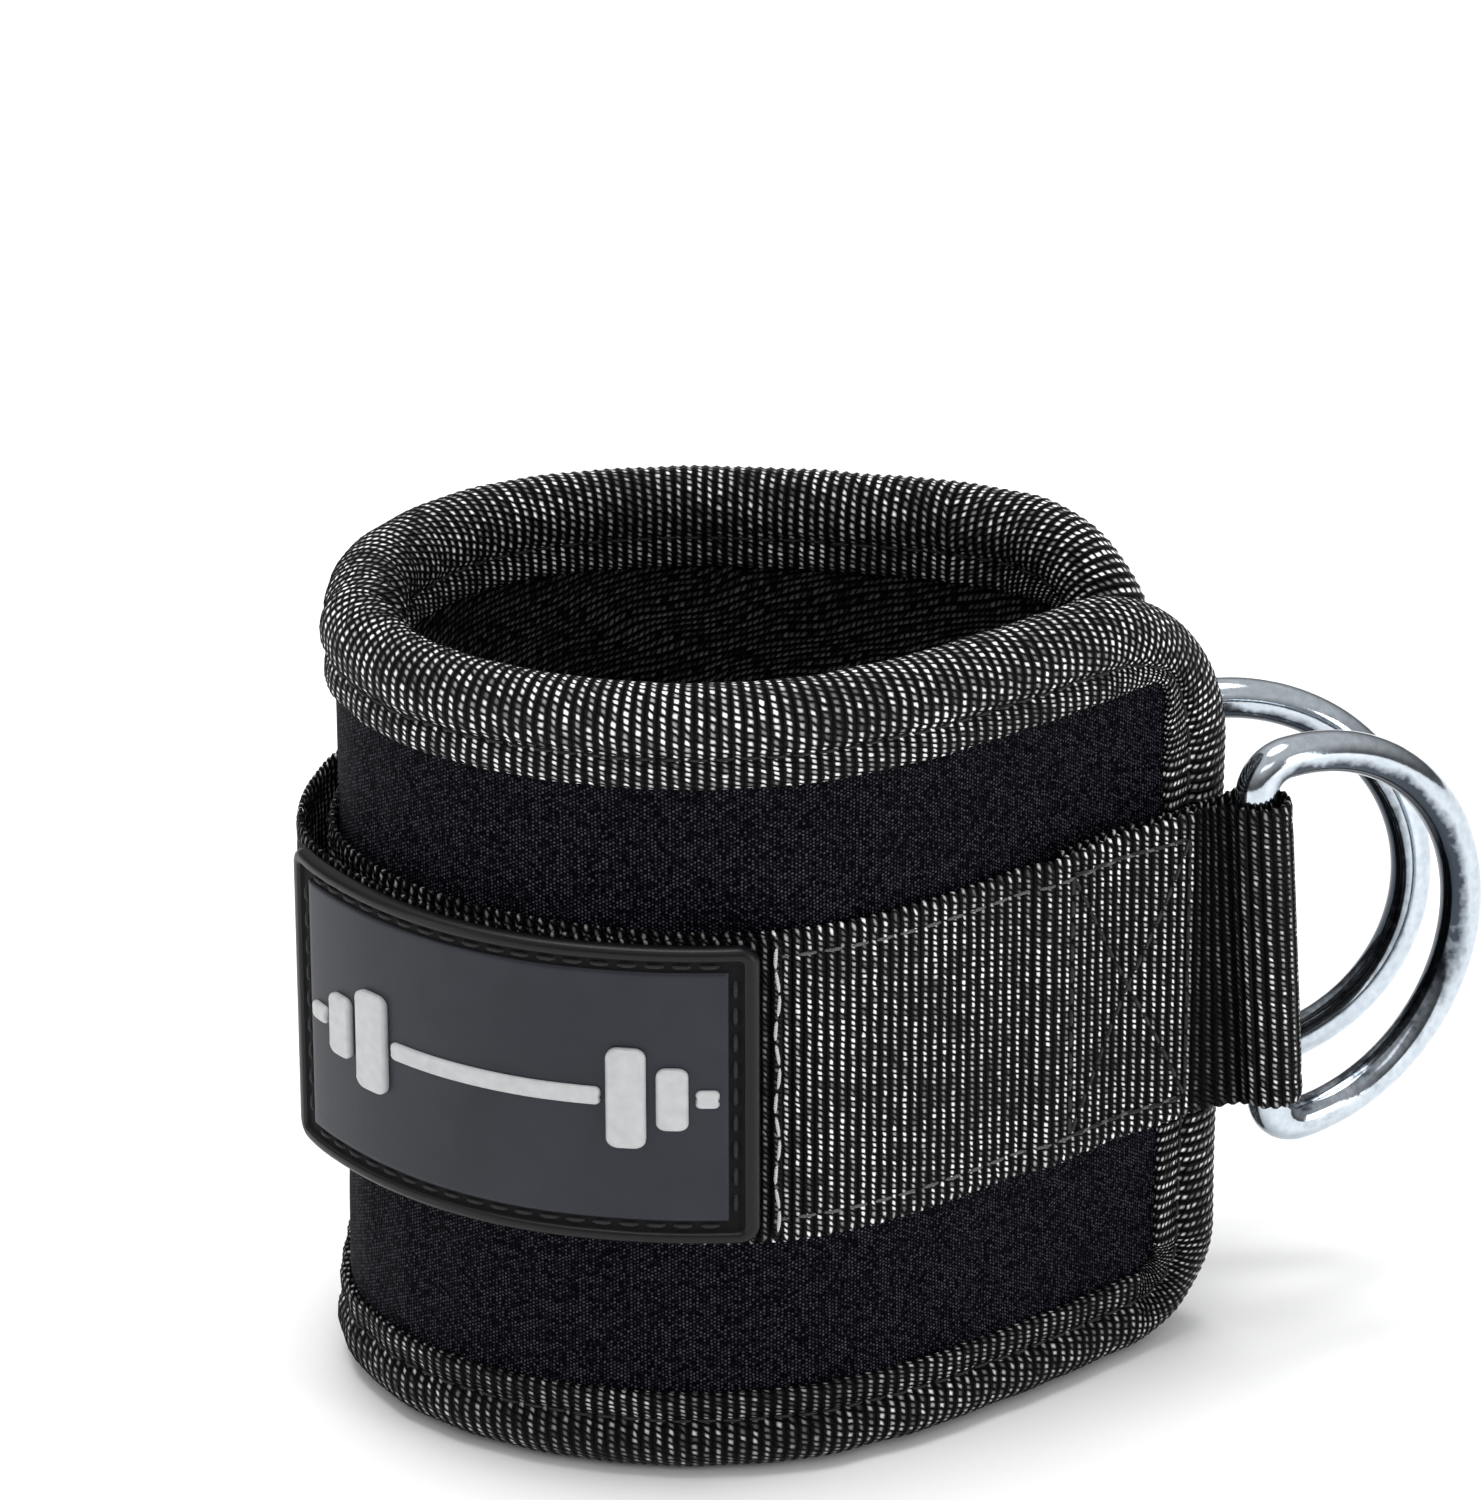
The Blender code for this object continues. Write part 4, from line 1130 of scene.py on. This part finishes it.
def make_ring(name, bar, height, yaw, tilt, half=0.0243, reach=0.0283, corner=0.0042):
    """A D of round wire, its bar upright at the origin."""
    straight = half - corner
    upright = np.linspace(-straight, straight, 60)
    bends = (corner, corner)
    sides = [
        np.stack([upright * 0, upright], axis=1),
        arc((corner, straight), bends, 177, 93, 14),
        arc((corner, 0.0), (reach - corner, half), 90, -90, 120),
        arc((corner, -straight), bends, 267, 183, 14),
    ]
    route = np.concatenate(sides)
    ahead = units(np.roll(route, -1, axis=0) - np.roll(route, 1, axis=0))
    turn = np.linspace(0, 2 * math.pi, 28, endpoint=False)
    across, up = WIRE_RADIUS * np.cos(turn), WIRE_RADIUS * np.sin(turn)
    x = route[:, :1] + ahead[:, 1:] * across
    z = route[:, 1:] - ahead[:, :1] * across
    points = np.stack([x, np.broadcast_to(up, x.shape), z], axis=-1)
    mesh = solid_mesh(name, points, np.zeros((*x.shape, 2)), looped=True)
    ring = piece(name, mesh, MATERIALS["steel"])
    turned = Matrix.Rotation(yaw, 4, "Z") @ Matrix.Rotation(-tilt, 4, "Y")
    ring.matrix_world = Matrix.Translation((*bar, height)) @ turned
    return ring


# Assembly


def bend_at_hinge(obj):
    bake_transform(obj)


def stand_for(obj, slot, *nodes):
    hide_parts(*nodes)


def assemble():
    padding, padding_end = make_padding()
    bend_at_hinge(padding)
    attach(padding_end, "back_shell")
    soft = ["pad_core", "outer_fabric", "lining"]
    stand_for(padding, "outer_knit", *[f"front_{kind}" for kind in soft])
    stand_for(padding_end, "outer_knit", *[f"back_{kind}" for kind in soft])

    binding = make_binding_part("binding_round", COURSE.end, 1)
    binding_end = make_binding_part("binding_back_end", COURSE.start, -1)
    bend_at_hinge(binding)
    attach(binding_end, "back_shell")
    stand_for(binding, "binding", "front_binding")
    stand_for(binding_end, "binding", "back_binding")

    webbing = make_base_webbing()
    bend_at_hinge(webbing)
    stand_for(webbing, "webbing", "front_webbing", "back_webbing")

    front_box = make_front_box()
    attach(front_box, "front_flap")
    stand_for(front_box, "thread", "front_box_stitch")

    strap_back, strap_end, rear_box = make_closure_strap()
    tip = Vector((*COURSE.at(STRAP_SPLIT, STRAP_LAYER), STRAP_LEVEL))
    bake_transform(strap_back)
    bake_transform(strap_end)
    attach(rear_box, "back_shell")
    stand_for(strap_back, "webbing", "closure_strap_back")
    stand_for(strap_end, "webbing", "closure_strap_end")
    stand_for(rear_box, "thread", "rear_box_stitch")

    trims = [
        (make_patch(), "strap_end", "patch_rubber", "rubber_patch"),
        (make_patch_stitch(), "strap_end", "thread", "patch_stitch"),
        (make_emblem(), "strap_end", "emblem", "patch_emblem"),
    ]
    front_ring = make_ring("front_ring", FRONT_BAR, FRONT_BAR_Z, FRONT_YAW, FRONT_TILT)
    rear_ring = make_ring("rear_ring", REAR_BAR, REAR_BAR_Z, REAR_YAW, 0.0)
    trims.append((front_ring, "front_ring", "ring_steel", "front_d_ring"))
    trims.append((rear_ring, "rear_ring", "ring_steel", "rear_d_ring"))
    for obj, body, slot, node in trims:
        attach(obj, body)
        stand_for(obj, slot, node)

    for node, material in (("loop_tape", "loop"), ("hook_tape", "hook")):
        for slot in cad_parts[node].material_slots:
            slot.material = MATERIALS[material]


# Stage


def make_floor():
    mesh = bpy.data.meshes.new("floor")
    mesh.from_pydata([(-3, -3, 0), (3, -3, 0), (3, 6, 0), (-3, 6, 0)], [], [(0, 1, 2, 3)])
    n = Nodes("floor")
    n.set(Base_Color=(0.98, 0.98, 0.98, 1.0), Roughness=0.6)
    floor = piece("floor", mesh, n.material)
    floor.location.z = -0.0002


def area_light(name, place, size, power, aim=(0, 0, 0.05)):
    data = bpy.data.lights.new(name, "AREA")
    data.shape = "RECTANGLE"
    data.size, data.size_y = size
    data.energy = power
    lamp = piece(name, data)
    lamp.location = place
    lamp.rotation_euler = (Vector(aim) - Vector(place)).to_track_quat("-Z", "Y").to_euler()


def make_world():
    """A pale dome over a darker horizon, so that the steel has something to mirror."""
    world = bpy.data.worlds.new("studio")
    bpy.context.scene.world = world
    world.use_nodes = True
    nodes, links = world.node_tree.nodes, world.node_tree.links
    way = nodes.new("ShaderNodeTexCoord")
    apart = nodes.new("ShaderNodeSeparateXYZ")
    rise = nodes.new("ShaderNodeMapRange")
    for name, value in {"From Min": 0.10, "From Max": 0.65, "To Min": 0.12, "To Max": 0.72}.items():
        rise.inputs[name].default_value = value
    links.new(way.outputs["Generated"], apart.inputs[0])
    links.new(apart.outputs[2], rise.inputs["Value"])
    background = nodes["Background"].inputs
    background["Color"].default_value = (1, 1, 1, 1)
    links.new(rise.outputs[0], background["Strength"])


def make_lights():
    sun = bpy.data.lights.new("sky_panel", "SUN")
    sun.energy = 2.4
    sun.angle = math.radians(35)
    lamp = piece("sky_panel", sun)
    lamp.rotation_euler = Vector((-0.05, 0.06, 1.0)).to_track_quat("Z", "Y").to_euler()
    area_light("left", (-0.80, -0.35, 0.22), (0.25, 0.4), 0.9)
    area_light("right", (0.70, -0.50, 0.25), (0.20, 0.4), 1.8)
    area_light("front", (-0.05, -0.80, 0.75), (0.6, 0.2), 0.5)


def make_camera():
    """Looks along +Y from 26 degrees up, panned so that the cuff stands low and to the right."""
    data = bpy.data.cameras.new("camera")
    data.sensor_width = 36
    data.lens = 180.9
    data.clip_end = 20
    camera = piece("camera", data)
    down = math.radians(25.8)
    target = Vector((*BAND_CENTRE, 0.05))
    camera.location = target - 0.9 * Vector((0, math.cos(down), -math.sin(down)))
    aim = Euler((math.pi / 2 - down, 0, 0)).to_matrix()
    pan, tilt = math.radians(0.266), math.radians(1.672)
    turned = aim @ Matrix.Rotation(pan, 3, "Y") @ Matrix.Rotation(tilt, 3, "X")
    camera.rotation_euler = turned.to_euler()
    bpy.context.scene.camera = camera


assemble()
make_floor()
make_world()
make_lights()
make_camera()
bpy.context.scene.view_settings.view_transform = "Standard"
bpy.context.view_layer.update()
